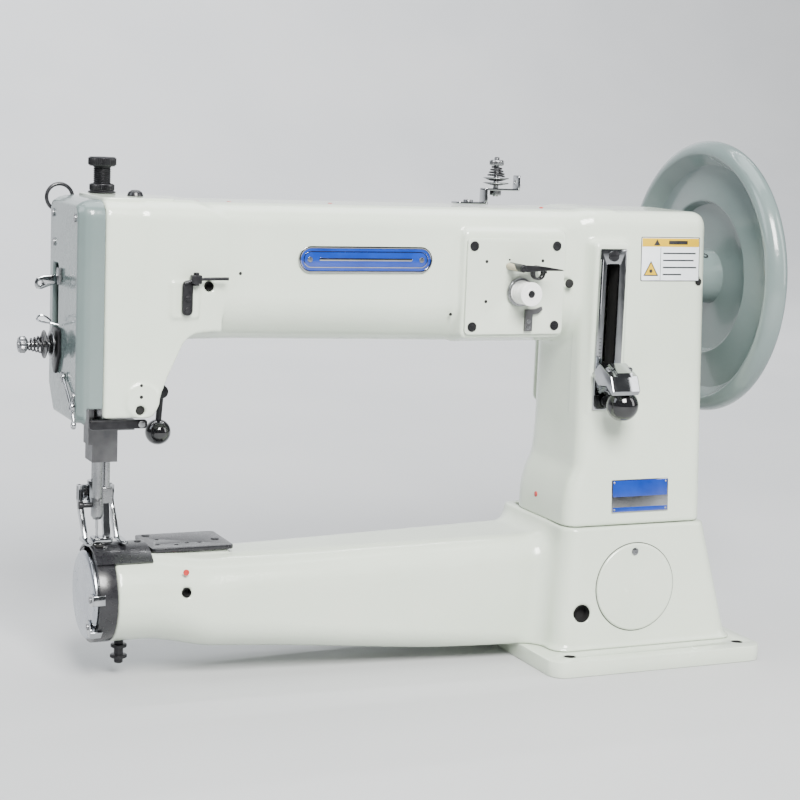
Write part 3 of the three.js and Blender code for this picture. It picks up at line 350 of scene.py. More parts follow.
def capsule(u0, v0, r0, u1, v1, r1, steps=10):
    angle = math.atan2(v1 - v0, u1 - u0)
    points = []
    for cu, cv, r, begin in ((u1, v1, r1, angle - math.pi / 2), (u0, v0, r0, angle + math.pi / 2)):
        for k in range(steps + 1):
            a = begin + math.pi * k / steps
            points.append((cu + r * math.cos(a), cv + r * math.sin(a)))
    return points


def knurl(u, v, radius, teeth, depth):
    points = []
    for k in range(2 * teeth):
        r = radius if k % 2 == 0 else radius - depth
        points.append((u + r * math.cos(math.pi * k / teeth), v + r * math.sin(math.pi * k / teeth)))
    return points


def joined(name, *pieces):
    """Several pieces as one object, which keeps the first one's name and place."""
    target = pieces[0]
    bpy.ops.object.select_all(action="DESELECT")
    for piece in pieces:
        piece.select_set(True)
    bpy.context.view_layer.objects.active = target
    bpy.ops.object.join()
    target.name = name
    target.data.name = name
    return target


def moved(obj, matrix):
    obj.data.transform(Matrix.Scale(MM, 4) @ matrix @ Matrix.Scale(1 / MM, 4))
    return obj


def screw(name, axis, at, radius, height, sign=-1, material=None, kind="slot"):
    """A screw head standing on its seat: at is the seat, sign the way it faces along the axis."""
    material = material or BLACK
    if kind == "slot":
        gap = radius * 0.17
        half = []
        reach = math.asin(gap / radius)
        for k in range(13):
            angle = reach + (math.pi - 2 * reach) * k / 12
            half.append((radius * math.cos(angle), radius * math.sin(angle)))
        mirror = [(-u, -v) for u, v in half]
        base = prism(name, "z", 0, height * 0.55, [circle(0, 0, radius, 28)], material, 0.15)
        upper = [prism(name + "_a", "z", height * 0.5, height, [outline], material, height * 0.16)
                 for outline in (half, mirror)]
        head = joined(name, base, *upper)
    elif kind == "hex":
        head = prism(name, "z", 0, height, [circle(0, 0, radius, 6)], material, height * 0.12)
    else:
        socket = circle(0, 0, radius * 0.5, 6)
        base = prism(name, "z", 0, height * 0.4, [circle(0, 0, radius, 28)], material, 0.1)
        upper = prism(name + "_a", "z", height * 0.35, height, [circle(0, 0, radius, 28), socket], material,
                      height * 0.14)
        head = joined(name, base, upper)
    turn = AXES[axis].copy()
    if sign < 0:
        turn = turn @ Matrix.Scale(-1, 4, (0, 0, 1))
    head.data.transform(Matrix.Translation(Vector(at) * MM) @ turn)
    if turn.determinant() < 0:
        head.data.flip_normals()
    return head


# ------------------------------------------------------------------ sculpted solids
class Sculpture:
    """A solid held as distances on a grid of cells of size step, in millimetres."""

    def __init__(self, low, high, step):
        self.low, self.step = np.array(low, float), step
        counts = [int(math.ceil((b - a) / step)) + 1 for a, b in zip(low, high)]
        axes = [low[i] + step * np.arange(counts[i], dtype=np.float32) for i in range(3)]
        self.x = axes[0][:, None, None].astype(np.float32)
        self.y = axes[1][None, :, None].astype(np.float32)
        self.z = axes[2][None, None, :].astype(np.float32)

    def axis(self, name):
        order = {"x": (self.x, self.y, self.z), "y": (self.y, self.x, self.z), "z": (self.z, self.x, self.y)}
        return order[name]

    def loft(self, axis, keys, ends=3.0, smooth=0.0):
        """keys: rows of (along, u0, u1, v0, v1, r00, r10, r11, r01), the corner radii low-low, high-low,
        high-high, low-high. ends rounds the two end faces."""
        t, u, v = self.axis(axis)
        table = np.array(sorted(keys), float)
        line = t.ravel()
        columns = []
        for k in range(1, 9):
            fine = np.arange(table[0, 0] - 40, table[-1, 0] + 40, 1.0)
            values = np.interp(fine, table[:, 0], table[:, k])
            if smooth:
                reach = np.arange(-int(3 * smooth), int(3 * smooth) + 1)
                weights = np.exp(-0.5 * (reach / smooth) ** 2)
                values = np.convolve(np.pad(values, len(reach) // 2, "edge"), weights / weights.sum(), "valid")
            columns.append(np.interp(line, fine, values).astype(np.float32).reshape(t.shape))
        u0, u1, v0, v1, r00, r10, r11, r01 = columns
        du, dv = u - (u0 + u1) / 2, v - (v0 + v1) / 2
        radius = np.where(du > 0, np.where(dv > 0, r11, r10), np.where(dv > 0, r01, r00))
        qu = np.abs(du) - (u1 - u0) / 2 + radius
        qv = np.abs(dv) - (v1 - v0) / 2 + radius
        flat = np.minimum(np.maximum(qu, qv), 0) + np.hypot(np.maximum(qu, 0), np.maximum(qv, 0)) - radius
        middle, half = (table[0, 0] + table[-1, 0]) / 2, (table[-1, 0] - table[0, 0]) / 2
        return both(flat, np.abs(t - middle) - half, ends)

    def outline(self, axis, points, low, high, ends=2.0):
        """A polygon in the plane across an axis, between low and high."""
        t, u, v = self.axis(axis)
        u, v = np.broadcast_arrays(u, v) if u.shape != v.shape else (u, v)
        u, v = np.squeeze(u), np.squeeze(v)
        distance = np.full(u.shape, 1e9, np.float32)
        inside = np.zeros(u.shape, bool)
        for (au, av), (bu, bv) in zip(points, points[1:] + points[:1]):
            eu, ev = bu - au, bv - av
            k = np.clip(((u - au) * eu + (v - av) * ev) / (eu * eu + ev * ev), 0, 1)
            distance = np.minimum(distance, np.hypot(u - au - k * eu, v - av - k * ev))
            crosses = (av > v) != (bv > v)
            with np.errstate(divide="ignore", invalid="ignore"):
                inside ^= crosses & (u < eu * (v - av) / (ev if ev else 1e-9) + au)
        distance = np.where(inside, -distance, distance).astype(np.float32)
        distance = np.expand_dims(distance, {"x": 0, "y": 1, "z": 2}[axis])
        return both(distance, np.abs(t - (low + high) / 2) - (high - low) / 2, ends)

    def rod(self, axis, low, high, u0, v0, radius, ends=1.0, top=None):
        t, u, v = self.axis(axis)
        if top is not None:
            radius = radius + (top - radius) * np.clip((t - low) / (high - low), 0, 1)
        return both(np.hypot(u - u0, v - v0) - radius, np.abs(t - (low + high) / 2) - (high - low) / 2, ends)

    def block(self, x0, x1, y0, y1, z0, z1, r=1.0):
        qx = np.abs(self.x - (x0 + x1) / 2) - (x1 - x0) / 2 + r
        qy = np.abs(self.y - (y0 + y1) / 2) - (y1 - y0) / 2 + r
        qz = np.abs(self.z - (z0 + z1) / 2) - (z1 - z0) / 2 + r
        outside = np.sqrt(np.maximum(qx, 0) ** 2 + np.maximum(qy, 0) ** 2 + np.maximum(qz, 0) ** 2)
        return outside + np.minimum(np.maximum(np.maximum(qx, qy), qz), 0) - r

    def ball(self, x, y, z, radius):
        return np.sqrt((self.x - x) ** 2 + (self.y - y) ** 2 + (self.z - z) ** 2) - radius

    def strut(self, a, b, ra, rb=None):
        a, b = np.array(a, float), np.array(b, float)
        d = b - a
        k = np.clip(((self.x - a[0]) * d[0] + (self.y - a[1]) * d[1] + (self.z - a[2]) * d[2]) / d.dot(d), 0, 1)
        far = np.sqrt((self.x - a[0] - k * d[0]) ** 2 + (self.y - a[1] - k * d[1]) ** 2 + (self.z - a[2] - k * d[2]) ** 2)
        return far - (ra + ((rb if rb is not None else ra) - ra) * k)

    def mesh(self, name, field, material, sharp=60.0, adaptivity=0.0):
        shape = np.broadcast_shapes(self.x.shape, self.y.shape, self.z.shape)
        values = np.clip(np.broadcast_to(field, shape), -3 * self.step, 3 * self.step).astype(np.float32)
        values = np.ascontiguousarray(values)
        grid = openvdb.FloatGrid(3 * self.step)
        grid.copyFromArray(values)
        points, triangles, quads = grid.convertToPolygons(adaptivity=adaptivity)
        points = (points * self.step + self.low) * MM
        data = bpy.data.meshes.new(name)
        faces = [list(map(int, f)) for f in triangles] + [list(map(int, f)) for f in quads]
        data.from_pydata(points.tolist(), [], faces)
        work = bmesh.new()
        work.from_mesh(data)
        bmesh.ops.recalc_face_normals(work, faces=work.faces)
        for face in work.faces:
            face.smooth = True
        work.to_mesh(data)
        work.free()
        data.materials.append(material)
        obj = bpy.data.objects.new(name, data)
        bpy.context.scene.collection.objects.link(obj)
        return obj


def joint_of(a, b, k):
    """Both solids, with a fillet of size k between them."""
    if k <= 0:
        return np.minimum(a, b)
    h = np.clip(0.5 + 0.5 * (b - a) / k, 0, 1)
    return b * (1 - h) + a * h - k * h * (1 - h)


def both(a, b, k=0.0):
    """What is in both solids, its new edges rounded by k."""
    return -joint_of(-a, -b, k)


def less(a, b, k=0.6):
    return both(a, -b, k)


# ------------------------------------------------------------------ castings
def arm_body():
    g = Sculpture((-510, -80, 122), (66, 52, 416), 2.0)
    column = g.loft("z", [
        (120.0, -82.5, 61, -76, 44, 13, 12, 18, 34), (150, -82, 61, -74.5, 44, 13, 12, 18, 34),
        (166, -78, 61, -73, 44, 13, 12, 18, 34), (180, -71.5, 61, -72, 44, 13, 12, 18, 34),
        (209, -69.5, 61, -70, 44, 13, 12, 18, 34), (330, -69.5, 61, -62, 44, 13, 13, 18, 34),
        (398, -69.5, 61, -58, 44, 13, 14, 18, 34), (432, -69.5, 61, -56, 44, 13, 14, 18, 34),
    ], ends=1.0, smooth=4.0)
    column = both(column, g.z - 410.6, 15.0)
    arm = g.loft("x", [
        (HEAD + 20, -55, 42, 294, 410.6, 40, 40, 16, 16), (HEAD + 110, -53, 41, 294, 410.6, 44, 44, 18, 18),
        (-40, -54, 42, 288, 410.0, 44, 44, 18, 18),
    ], ends=1.0)
    outline = [(-16.5, 235), (25, 235), (37, 267), (48, 291)]
    outline += [((1 - t) ** 2 * 48 + 2 * t * (1 - t) * 53 + t * t * 66, (1 - t) ** 2 * 291 + 2 * t * (1 - t) * 303
                 + t * t * 304) for t in (0.2, 0.4, 0.6, 0.8)]
    outline += [(66, 304), (84, 304), (84, 396), (60, 411), (-16.5, 411)]
    shape = g.outline("y", [(HEAD + x, z) for x, z in outline], -57, 44, ends=1.5)
    envelope = g.loft("x", [
        (HEAD - 17, -57, 44, 200, 411, 2, 2, 15, 15), (HEAD + 60, -56, 43, 200, 411, 2, 2, 16, 16),
        (HEAD + 96, -51, 40, 200, 411, 2, 2, 18, 18),
    ], ends=0.5)
    body = joint_of(joint_of(both(shape, envelope, 1.0), arm, 6.0), column, 7.0)
    winder_pad = g.loft("y", [(-59.3, -189, -89, 298, 391, 5, 5, 5, 5), (-30, -193, -85, 291, 404, 9, 9, 9, 9)], ends=1.5)
    slot_pad = g.loft("y", [(-68.8, -63, -29, 229, 382, 3, 3, 3, 3), (-46, -69, -25, 222, 388, 6, 6, 6, 6)], ends=1.2)
    guide_pad = g.block(HEAD + 38, HEAD + 62, -58.4, -50, 316, 347, 1.5)
    round_pad = g.rod("y", -58.3, -50, HEAD + 16, 249, 14, 1.5)
    for pad, k in ((winder_pad, 4.0), (slot_pad, 3.0), (guide_pad, 2.0), (round_pad, 3.0)):
        body = joint_of(body, pad, k)
    body = joint_of(body, g.rod("x", 56, 64, 0, SHAFT_Z, 27, 2.0), 4.0)

    room = g.loft("z", [
        (120, -73, 54, -66, 37, 10, 10, 14, 28), (209, -62.5, 54, -61, 37, 10, 10, 14, 28),
        (403, -62.5, 54, -52, 37, 10, 10, 14, 28),
    ], ends=3.0)
    gallery = g.loft("x", [
        (HEAD + 50, -48, 35, 304, 403, 32, 32, 12, 12), (-50, -46, 35, 302, 403, 34, 34, 12, 12),
    ], ends=3.0)
    head_room = g.outline("y", [(HEAD + x, z) for x, z in (
        (-30, 220), (18, 220), (29, 263), (38, 292), (50, 308), (70, 309), (70, 403), (-30, 403))], -50, 39, 2.0)
    body = less(body, joint_of(joint_of(room, gallery, 2.0), head_room, 1.0), 1.0)
    for cut in (
            g.block(-56, -37, -90, -48, 250, 368, 1.0), g.rod("y", -80, -50, -84, 345.5, 4.2, 0.5),
            g.rod("y", -80, -50, 51, 347, 3.4, 0.5), g.rod("y", -62, -46, HEAD + 14.2, 241.1, 4.0, 0.5),
            g.rod("y", -62, -46, HEAD + 70.9, 342.6, 3.8, 0.5), g.rod("x", 50, 74, 0, SHAFT_Z, 14.4, 0.5),
            g.rod("z", 380, 420, HEAD + 2, 27, 8.6, 0.5), g.rod("y", -80, -50, -135.5, 338.5, 15, 0.5),
            g.rod("y", 36, 50, HEAD + 26, 272, 5.6, 0.3), g.block(-46, 40, 30, 60, 235, 372, 4.0)):
        body = less(body, cut, 0.6)
    body = both(body, 126.4 - g.z, 0.6)
    return put(g.mesh("arm_and_column", body, IVORY), "machine", "arm_casting")


def bed_body():
    g = Sculpture((-492, -92, 2), (98, 60, 128), 2.0)

    def key(z, grow):
        t = (z - 14.5) / 111.5
        return (z, -92 + 7.5 * t - grow, 93 - 29.5 * t + grow, -86 + 6 * t - grow, 54 - 2 * t + grow, 16, 13, 13, 13)

    block = g.loft("z", [key(8, 5), key(14.5, 4.5), key(17, 2.0), key(20, 0.6), key(26, 0), key(126, 0)], ends=1.4)
    arm = g.loft("x", [
        (HEAD + 4, -41, 41, 34, 116, 40.9, 40.9, 40.9, 40.9), (HEAD + 40, -41, 41, 34, 116, 40.9, 40.9, 40.9, 40.9),
        (HEAD + 62, -41, 41, 31, 112, 36, 36, 36, 36), (HEAD + 85, -42, 42, 27, 108, 30, 30, 34, 34),
        (HEAD + 150, -45, 45, 24, 108, 26, 26, 30, 30), (-80, -54, 48, 3, 114, 20, 20, 24, 24),
        (-55, -55, 49, 1, 115, 20, 20, 24, 24),
    ], ends=0.8, smooth=5.0)
    arm = both(arm, -(g.x - (HEAD + 4)), 0.8)
    body = joint_of(block, arm, 20.0)
    body = joint_of(body, g.block(HEAD + 43, HEAD + 108, -15, 34, 100, 111.2, 1.0), 2.0)
    body = less(body, g.block(HEAD + 37.4, HEAD + 115, -60, 60, 111.2, 130, 0.5), 0.5)
    room = g.loft("z", [
        (15, -83, 84, -77, 45, 10, 10, 10, 10), (122, -76, 55, -71, 43, 8, 8, 8, 8),
        (140, -76, 55, -71, 43, 8, 8, 8, 8)], ends=2.0)
    tunnel = g.loft("x", [
        (HEAD + 62, -27, 27, 42, 99, 22, 22, 22, 22), (HEAD + 150, -35, 35, 34, 99, 22, 22, 22, 22),
        (-68, -43, 38, 14, 103, 16, 16, 16, 16)], ends=2.0)
    for cut in (
            room, tunnel, g.rod("x", HEAD - 4, HEAD + 14, 0, HOOK_Z, 33.6, 0.5),
            g.rod("x", HEAD + 10, HEAD + 70, 0, HOOK_Z, 14.3, 0.5), g.block(HEAD, HEAD + 66, -13, 13, 105.5, 130, 0.5),
            g.block(HEAD + 44, HEAD + 68, -13, 13, 88, 112, 0.5), g.rod("z", 20, 46, HEAD + 16, 0, 4.6, 0.4),
            g.rod("y", -100, -70, -12.5, 70, 33, 1.0), g.rod("y", -100, -60, -66.5, 48, 8, 0.8),
            g.rod("y", -60, -30, HEAD + 63, 81, 4, 0.5)):
        body = less(body, cut, 0.6)
    body = both(body, 14.4 - g.z, 0.2)
    body = put(g.mesh("bed_and_cylinder_arm", body, IVORY), "machine", "bed_casting")
    outside = rounded(-110.5, 110.5, -118, 88, 15, 8)
    holes = [circle(x, y, 5.5, 24) for x, y in ((-85, -98), (93, -98), (-85, 70), (93, 70))]
    put(prism("base_plate", "z", 0, 14.5, [outside, *holes], PLATE_IVORY, 1.3), "machine")
    # painted shade: dark tubes inside the four foot holes stand for the shade in them
    for k, (x, y) in enumerate(((-85, -98), (93, -98), (-85, 70), (93, 70))):
        put(lathe(f"foot_hole_shade_{k}", "z", (x, y, 0), [(5.4, 1), (5.4, 13.6), (5.1, 13.6), (5.1, 1)], PAINTED_SHADE,
                  0.1, 28, True), "machine")


def head_plate():
    g = Sculpture((-530, -60, 226), (-504, 48, 414), 1.2)
    x = HEAD - 38
    plate = g.loft("x", [
        (x, -50, 40, 231, 406, 8, 8, 8, 8), (x + 5, -55, 42.5, 229, 409.5, 12, 12, 12, 12),
        (x + 10, -57, 44, 229, 411, 3, 3, 15, 15), (HEAD - 16.8, -57, 44, 229, 411, 3, 3, 15, 15),
    ], ends=0.8)
    room = g.loft("x", [
        (x + 4.5, -48, 36, 222, 401, 8, 8, 8, 8), (HEAD - 12, -51, 38, 222, 403, 10, 10, 10, 10)], ends=0.8)
    plate = less(plate, room, 0.5)
    plate = less(plate, g.outline("x", [(50, 210), (50, 264.7), (22, 228), (10, 210)], x - 20, HEAD, 0.3), 0.5)
    for cut in (
            g.block(x + 8, HEAD, -70, 60, 200, 243, 0.3), g.block(x - 20, x + 8, 11, 28, 298, 355, 3.0),
            g.rod("x", x - 20, x + 12, 10, 288, 4.3, 0.4), g.rod("x", x - 20, x + 12, -16, 264, 2.8, 0.3)):
        plate = less(plate, cut, 0.5)
    stud = g.rod("x", HEAD - 35, HEAD - 19, -30, 318, 4, 0.3)
    return put(g.mesh("face_plate_shell", joint_of(plate, stud, 0.5), GREY), "machine", "face_plate")


# ------------------------------------------------------------------ covers, plates and labels
def dot(name, axis, at, radius, material, sign=-1, proud=0.3):
    """A small filled spot: a paint mark, or, in the painted shade colour, painted shade standing for an oil hole or a
    plugged hole.
    """
    step = sign * proud
    return lathe(name, axis, at, [(0, -sign * 0.6), (radius, -sign * 0.6), (radius, step * 0.6), (0, step)],
                 material, 0.1, 20)


def lean(y, z, slope):
    """From a plate's own frame, flat on y = 0 and centred on z = 0, to a wall that leans back by slope."""
    return Matrix.Translation((0, y, z)) @ Matrix.Rotation(-math.atan(slope), 4, "X")


def side_cover():
    y, z = -86 + 6 * (70 - 14.5) / 111.5, 70.0
    place = Matrix.Translation((-12.5, y, z)) @ Matrix.Rotation(-math.atan(6 / 111.5), 4, "X")
    disc = lathe("side_cover_disc", "y", (0, 0, 0), [
        (0, -2.2), (38.6, -2.2), (40.2, -1.2), (40.2, -0.3), (0, -0.3)], PLATE_IVORY, 0.5, 96)
    head = screw("side_cover_screw_head", "y", (-2.0, -2.2, 33.0), 3.4, 0.9, material=SATIN)
    put(moved(disc, place), "side_cover", "bed_side_cover")
    put(moved(head, place), "side_cover")
    # painted shade: a dark ring in the gap around the cover stands for the shade in it
    seam = lathe("side_cover_seam_shade", "y", (0, 0, 0), [(40.4, -0.35), (41.0, -0.35), (41.0, 0.4), (40.4, 0.4)],
                 PAINTED_SHADE, 0.05, 96, True)
    put(moved(seam, place), "machine")
    # painted shade: dark cups inside the two ports stand for the shade in them
    put(lathe("small_port_shade", "y", (-66.5, -83.8, 48), [
        (7.9, 0), (7.9, 9), (0, 9), (0, 8.4), (7.3, 8.4), (7.3, 0)], PAINTED_SHADE, 0.2, 32), "machine")
    put(lathe("arm_port_shade", "y", (HEAD + 63, -40.9, 81), [
        (3.9, 0), (3.9, 7), (0, 7), (0, 6.4), (3.5, 6.4), (3.5, 0)], PAINTED_SHADE, 0.2, 24), "machine")


def rear_cover():
    cover = prism("rear_cover_plate", "y", 44.3, 47.3, [
        rounded(-58, 52, 223, 384, 8)] + [circle(x, z, 2.5, 16) for x in (-52, 46) for z in (229, 378)],
        PLATE_IVORY, 0.8)
    put(cover, "machine", "rear_cover")
    for k, (x, z) in enumerate(((-52, 229), (46, 229), (-52, 378), (46, 378))):
        put(screw(f"rear_cover_screw_{k}", "y", (x, 47.2, z), 4.2, 1.8, 1, SATIN), "machine")


def winder_plate():
    plate = prism("winder_plate_sheet", "y", -62.2, -59.5, [
        rounded(-187, -91, 301, 385, 4), circle(-135.5, 338.5, 6.3, 24)], PLATE_IVORY, 0.5)
    put(plate, "machine", "winder_plate")
    for k, (x, z) in enumerate(((-181, 378.2), (-100, 378.9), (-180.2, 307.8), (-98.9, 308.5))):
        put(screw(f"winder_plate_screw_{k}", "y", (x, -62.1, z), 4.3, 0.8), "machine")
    # painted shade: dark discs in the plate's holes stand for the shade in them
    for k, (x, z, r) in enumerate(((-168.4, 364.8, 1.5), (-146.2, 366.6, 0.9), (-113.4, 365.8, 1.5),
                                   (-167.7, 330, 1.5))):
        put(dot(f"winder_plate_hole_shade_{k}", "y", (x, -62.2, z), r, PAINTED_SHADE, proud=0.15), "machine")
    bracket = prism("winder_stop_bracket", "y", -65.6, -62.4, [
        [(-129.5, 303.8), (-122.3, 303.8), (-122.3, 318.5), (-117, 319.5), (-112.6, 322.8), (-113.6, 325.6),
         (-119, 323.6), (-129.5, 323)]], IRON, 0.6)
    put(bracket, "machine")
    for k, z in enumerate((312.6, 306.9)):
        put(screw(f"winder_stop_screw_{k}", "y", (-126.6, -65.6, z), 1.9, 1.1, material=SATIN), "machine")
    put(tube("winder_friction_pad", [(-146.7, -62.4, 361), (-146.2, -71, 361), (-145.4, -80, 360.6)], 3.1, BEIGE,
             smooth=False), "machine")


def slot_plate():
    plate = prism("lever_slot_plate", "y", -71, -69, [
        rounded(-60, -33, 232.5, 377.5, 1), rounded(-53, -40, 254, 364, 1.2)], CHROME, 0.45)
    put(plate, "machine", "graduated_plate")
    for k, (x, z) in enumerate(((-46.5, 371.2), (-46.5, 240.8))):
        put(screw(f"lever_slot_screw_{k}", "y", (x, -71, z), 4.9, 1.5, material=BLACK), "machine")
    for k in range(17):
        z, long = 246 + 3.2 * k, k % 4 == 0
        mark = prism(f"scale_mark_{k}", "y", -71.12, -70.9, [
            [(-57.2, z - 0.3), (-54.8 + (0.9 if long else 0), z - 0.3), (-54.8 + (0.9 if long else 0), z + 0.3),
             (-57.2, z + 0.3)]], INK, 0.04)
        put(mark, "machine")
    put(prism("slot_edge_rib", "y", -72.6, -70.9, [[(-60, 246), (-57.6, 246), (-57.6, 368), (-60, 368)]], CHROME, 0.5),
        "machine")
    # painted shade: a dark sleeve inside the lever slot stands for the shade in the opening
    lining = prism("lever_slot_shade", "y", -68.5, -50, [
        rounded(-55.6, -37.4, 250.4, 367.6, 1.5), rounded(-54.6, -38.4, 251.4, 366.6, 1.2)], PAINTED_SHADE, 0.1)
    put(lining, "machine")


def labels():
    slope = 4.0 / 68
    place = lean(-59.75, 367.8, slope)
    parts = [
        prism("caution_border", "y", -0.3, 0.8, [rounded(-11.9, 50.2, -20, 20, 1)], INK, 0.1),
        prism("caution_label", "y", -0.42, 0.7, [rounded(-11.2, 49.5, -19.3, 19.3, 1)], WHITE, 0.12),
        prism("caution_header", "y", -0.5, 0.2, [rounded(-10.9, 49.2, 11.2, 18.9, 0.6)], YELLOW, 0.08),
        prism("caution_rule", "y", -0.5, 0.2, [rounded(8.4, 8.9, -19, 10.6, 0.2)], INK, 0.04),
        prism("caution_field", "y", -0.56, 0.2, [[(-8.4, -14.7), (5.7, -14.7), (-1.35, -2.6)]], YELLOW, 0.05),
        prism("caution_sign", "y", -0.62, 0.1, [
            [(-9.2, -15.2), (6.5, -15.2), (-1.35, -1.6)], [(-7.6, -14.3), (4.9, -14.3), (-1.35, -3.4)]], INK, 0.05),
        prism("caution_header_sign", "y", -0.62, 0.1, [[(1.2, 12.4), (8.0, 12.4), (4.6, 17.9)]], INK, 0.05),
        prism("caution_header_bar", "y", -0.62, 0.1, [rounded(17, 37, 13.4, 16.8, 0.5)], INK, 0.05),
        lathe("caution_sign_dot", "y", (-1.35, -0.6, -10.8), [(0, 0.4), (1.7, 0.4), (1.7, -0.05), (0, -0.05)], INK,
              0.05, 20),
    ]
    for k in range(4):
        right = (46, 44, 47, 31)[k]
        parts.append(prism(f"caution_line_{k}", "y", -0.5, 0.2, [
            rounded(11.2, right, 4.6 - 6.4 * k, 6.0 - 6.4 * k, 0.3)], INK, 0.04))
    for part in parts:
        put(moved(part, place), "machine")
    place = lean(-74.0, 153, 0.088)
    for part in (
            prism("name_plate", "y", -0.9, 0.9, [rounded(-37, 22.5, -15, 15, 0.8)], CHROME, 0.2),
            prism("name_plate_field", "y", -1.05, 0.0, [rounded(-36, 21.5, -0.5, 14.2, 0.5)], BLUE, 0.1),
            prism("name_plate_band", "y", -1.05, 0.0, [rounded(-36, 21.5, -14.2, -10.2, 0.5)], BLUE, 0.1)):
        put(moved(part, place), "machine")
    for k, (x, z) in enumerate(((-34.4, 12.4), (19.9, 12.4), (-34.4, -12.4), (19.9, -12.4))):
        put(moved(lathe(f"name_plate_pin_{k}", "y", (x, -1.0, z), [(0, 0.3), (1.0, 0.3), (1.0, -0.2), (0, -0.6)],
                        SATIN, 0.1, 16), place), "machine")
    edge = rounded(-340.4, -217.3, 353.9, 376.4, 11.2, 10)
    field = rounded(-338.6, -219.1, 355.7, 374.6, 9.4, 10)
    put(prism("arm_badge_rim", "y", -55.4, -52.6, [edge, field], CHROME, 0.35), "machine")
    put(prism("arm_badge_field", "y", -54.7, -52.4, [rounded(-338.7, -219.0, 355.6, 374.7, 9.5, 10)], BLUE, 0.2),
        "machine")
    put(prism("arm_badge_line", "y", -55.0, -54.0, [
        rounded(-336.2, -221.5, 358.1, 372.2, 7.0, 10), rounded(-335.5, -222.2, 358.8, 371.5, 6.4, 10)], CHROME, 0.1),
        "machine")
    put(prism("arm_badge_bar", "y", -55.0, -54.0, [rounded(-322, -236, 363.9, 366.4, 1.2)], CHROME, 0.15), "machine")
    for k, x in enumerate((-330.3, -227.4)):
        put(screw(f"arm_badge_pin_{k}", "y", (x, -54.6, 365.1), 2.3, 0.8, material=SATIN), "machine")


def casting_details():
    pad = prism("head_top_pad", "z", 406, 412.9, [rounded(HEAD - 16.2, HEAD + 44, -47, 37, 6)], IVORY, 0.7)
    put(pad, "machine")
    plug = lathe("oil_plug", "z", (-469.9, -12, 412.6), [
        (0, 5.6), (3.2, 5.2), (5.6, 3.6), (6.6, 1.2), (6.8, 0), (0, 0)], BLACK_GLOSS, 0.4, 32)
    put(plug, "machine")
    for k, (x, y) in enumerate(((-421.7, -27), (-393.7, -27), (-300, -20), (-96, -22))):
        put(dot(f"arm_oil_mark_{k}", "z", (x, y, 410.5), 1.8, RED, 1, 0.5), "machine")
    # painted shade: dark discs in the column's two holes stand for the shade in them
    for k, (x, z, r) in enumerate(((-84, 345.5, 4.1), (51, 347, 3.3))):
        put(dot(f"column_hole_shade_{k}", "y", (x, -59.5, z), r, PAINTED_SHADE, -1, 0.5), "machine")
    put(dot("column_oil_mark", "x", (-82.3, -13.9, 145.6), 2.6, RED, -1, 0.6), "machine")
    put(dot("cylinder_oil_mark", "y", (HEAD + 62.5, -39.2, 98.5), 2.6, RED, -1, 0.5), "machine")
    # painted shade: dark discs on the small casting holes stand for the shade in them
    for k, (x, y, z, r) in enumerate((
            (HEAD + 14.5, -58.3, 261.9, 1.3), (HEAD + 14.5, -58.3, 252.4, 1.5),
            (-391, -53.2, 353, 1.4), (-197, -53.5, 318, 1.4))):
        put(dot(f"casting_hole_shade_{k}", "y", (x, y, z), r, PAINTED_SHADE, proud=0.35), "machine")
    put(prism("foot_frame_plate", "y", -52.5, -49.6, [rounded(-516, -467.6, 225.5, 232.8, 2.5)], BLACK, 0.5), "machine")
    put(screw("foot_frame_screw", "y", (-472.6, -52.4, 229), 2.8, 1.2, material=SATIN), "machine")
    # painted shade: a dark disc and a dark cup in the head's two holes stand for the shade in them
    put(dot("head_screw_hole_shade", "y", (HEAD + 14.2, -55.5, 241.1), 3.9, PAINTED_SHADE, -1, 0.5), "machine")
    put(lathe("head_port_shade", "y", (HEAD + 70.9, -56.6, 342.6), [
        (3.7, 0), (3.7, 6), (0, 6), (0, 5.4), (3.3, 5.4), (3.3, 0)], PAINTED_SHADE, 0.2, 24), "machine")


# ------------------------------------------------------------------ handwheel
def handwheel():
    profile = [
        (9.4, 76.5), (25, 76.5), (25.5, 100), (69, 100), (71.5, 92), (73, 91.6), (106, 100), (115.5, 84.3), (117, 83.9),
        (119, 84.2), (121.7, 85.1), (124, 86.6), (125.9, 88.5), (127.3, 90.9), (128.1, 93.4), (128.3, 95.5),
        (128.1, 97.8), (127.4, 99.9), (126.4, 101.4), (125, 102.6), (122, 104), (119, 104.7), (109, 108.1), (98, 108.6),
        (72, 112), (72, 134.5), (66, 127.5), (60, 127.5), (54, 134.5), (54, 118.5), (30, 118.5), (30, 134.5),
        (9.4, 134.5)]
    wheel = lathe("handwheel_disc", "x", (0, 0, SHAFT_Z), profile, GREY, 0.8, 128, True)
    put(wheel, "handwheel", "handwheel")
    put(lathe("handwheel_washer", "x", (0, 0, SHAFT_Z), [
        (9.1, 134.4), (15, 134.4), (15, 136.5), (9.1, 136.5)], SATIN, 0.4, 48, True), "handwheel")
    put(screw("handwheel_nut", "x", (136.3, 0, SHAFT_Z), 11, 2.6, 1, SATIN, "hex"), "handwheel")
    for k, angle in enumerate((0.6, 0.6 + math.pi / 2)):
        y, z = 25.4 * math.cos(angle), 25.4 * math.sin(angle)
        turn = Matrix.Translation((86, y * 0.965, SHAFT_Z + z * 0.965)) @ Matrix.Rotation(angle, 4, "X")
        grub = screw(f"handwheel_grub_{k}", "y", (0, 0, 0), 3.4, 0.9, 1, BLACK, "socket")
        put(moved(grub, turn), "handwheel")


# ------------------------------------------------------------------ needle bar, feet and knob
def at_head(x, y, z):
    return (HEAD + x, y, z)


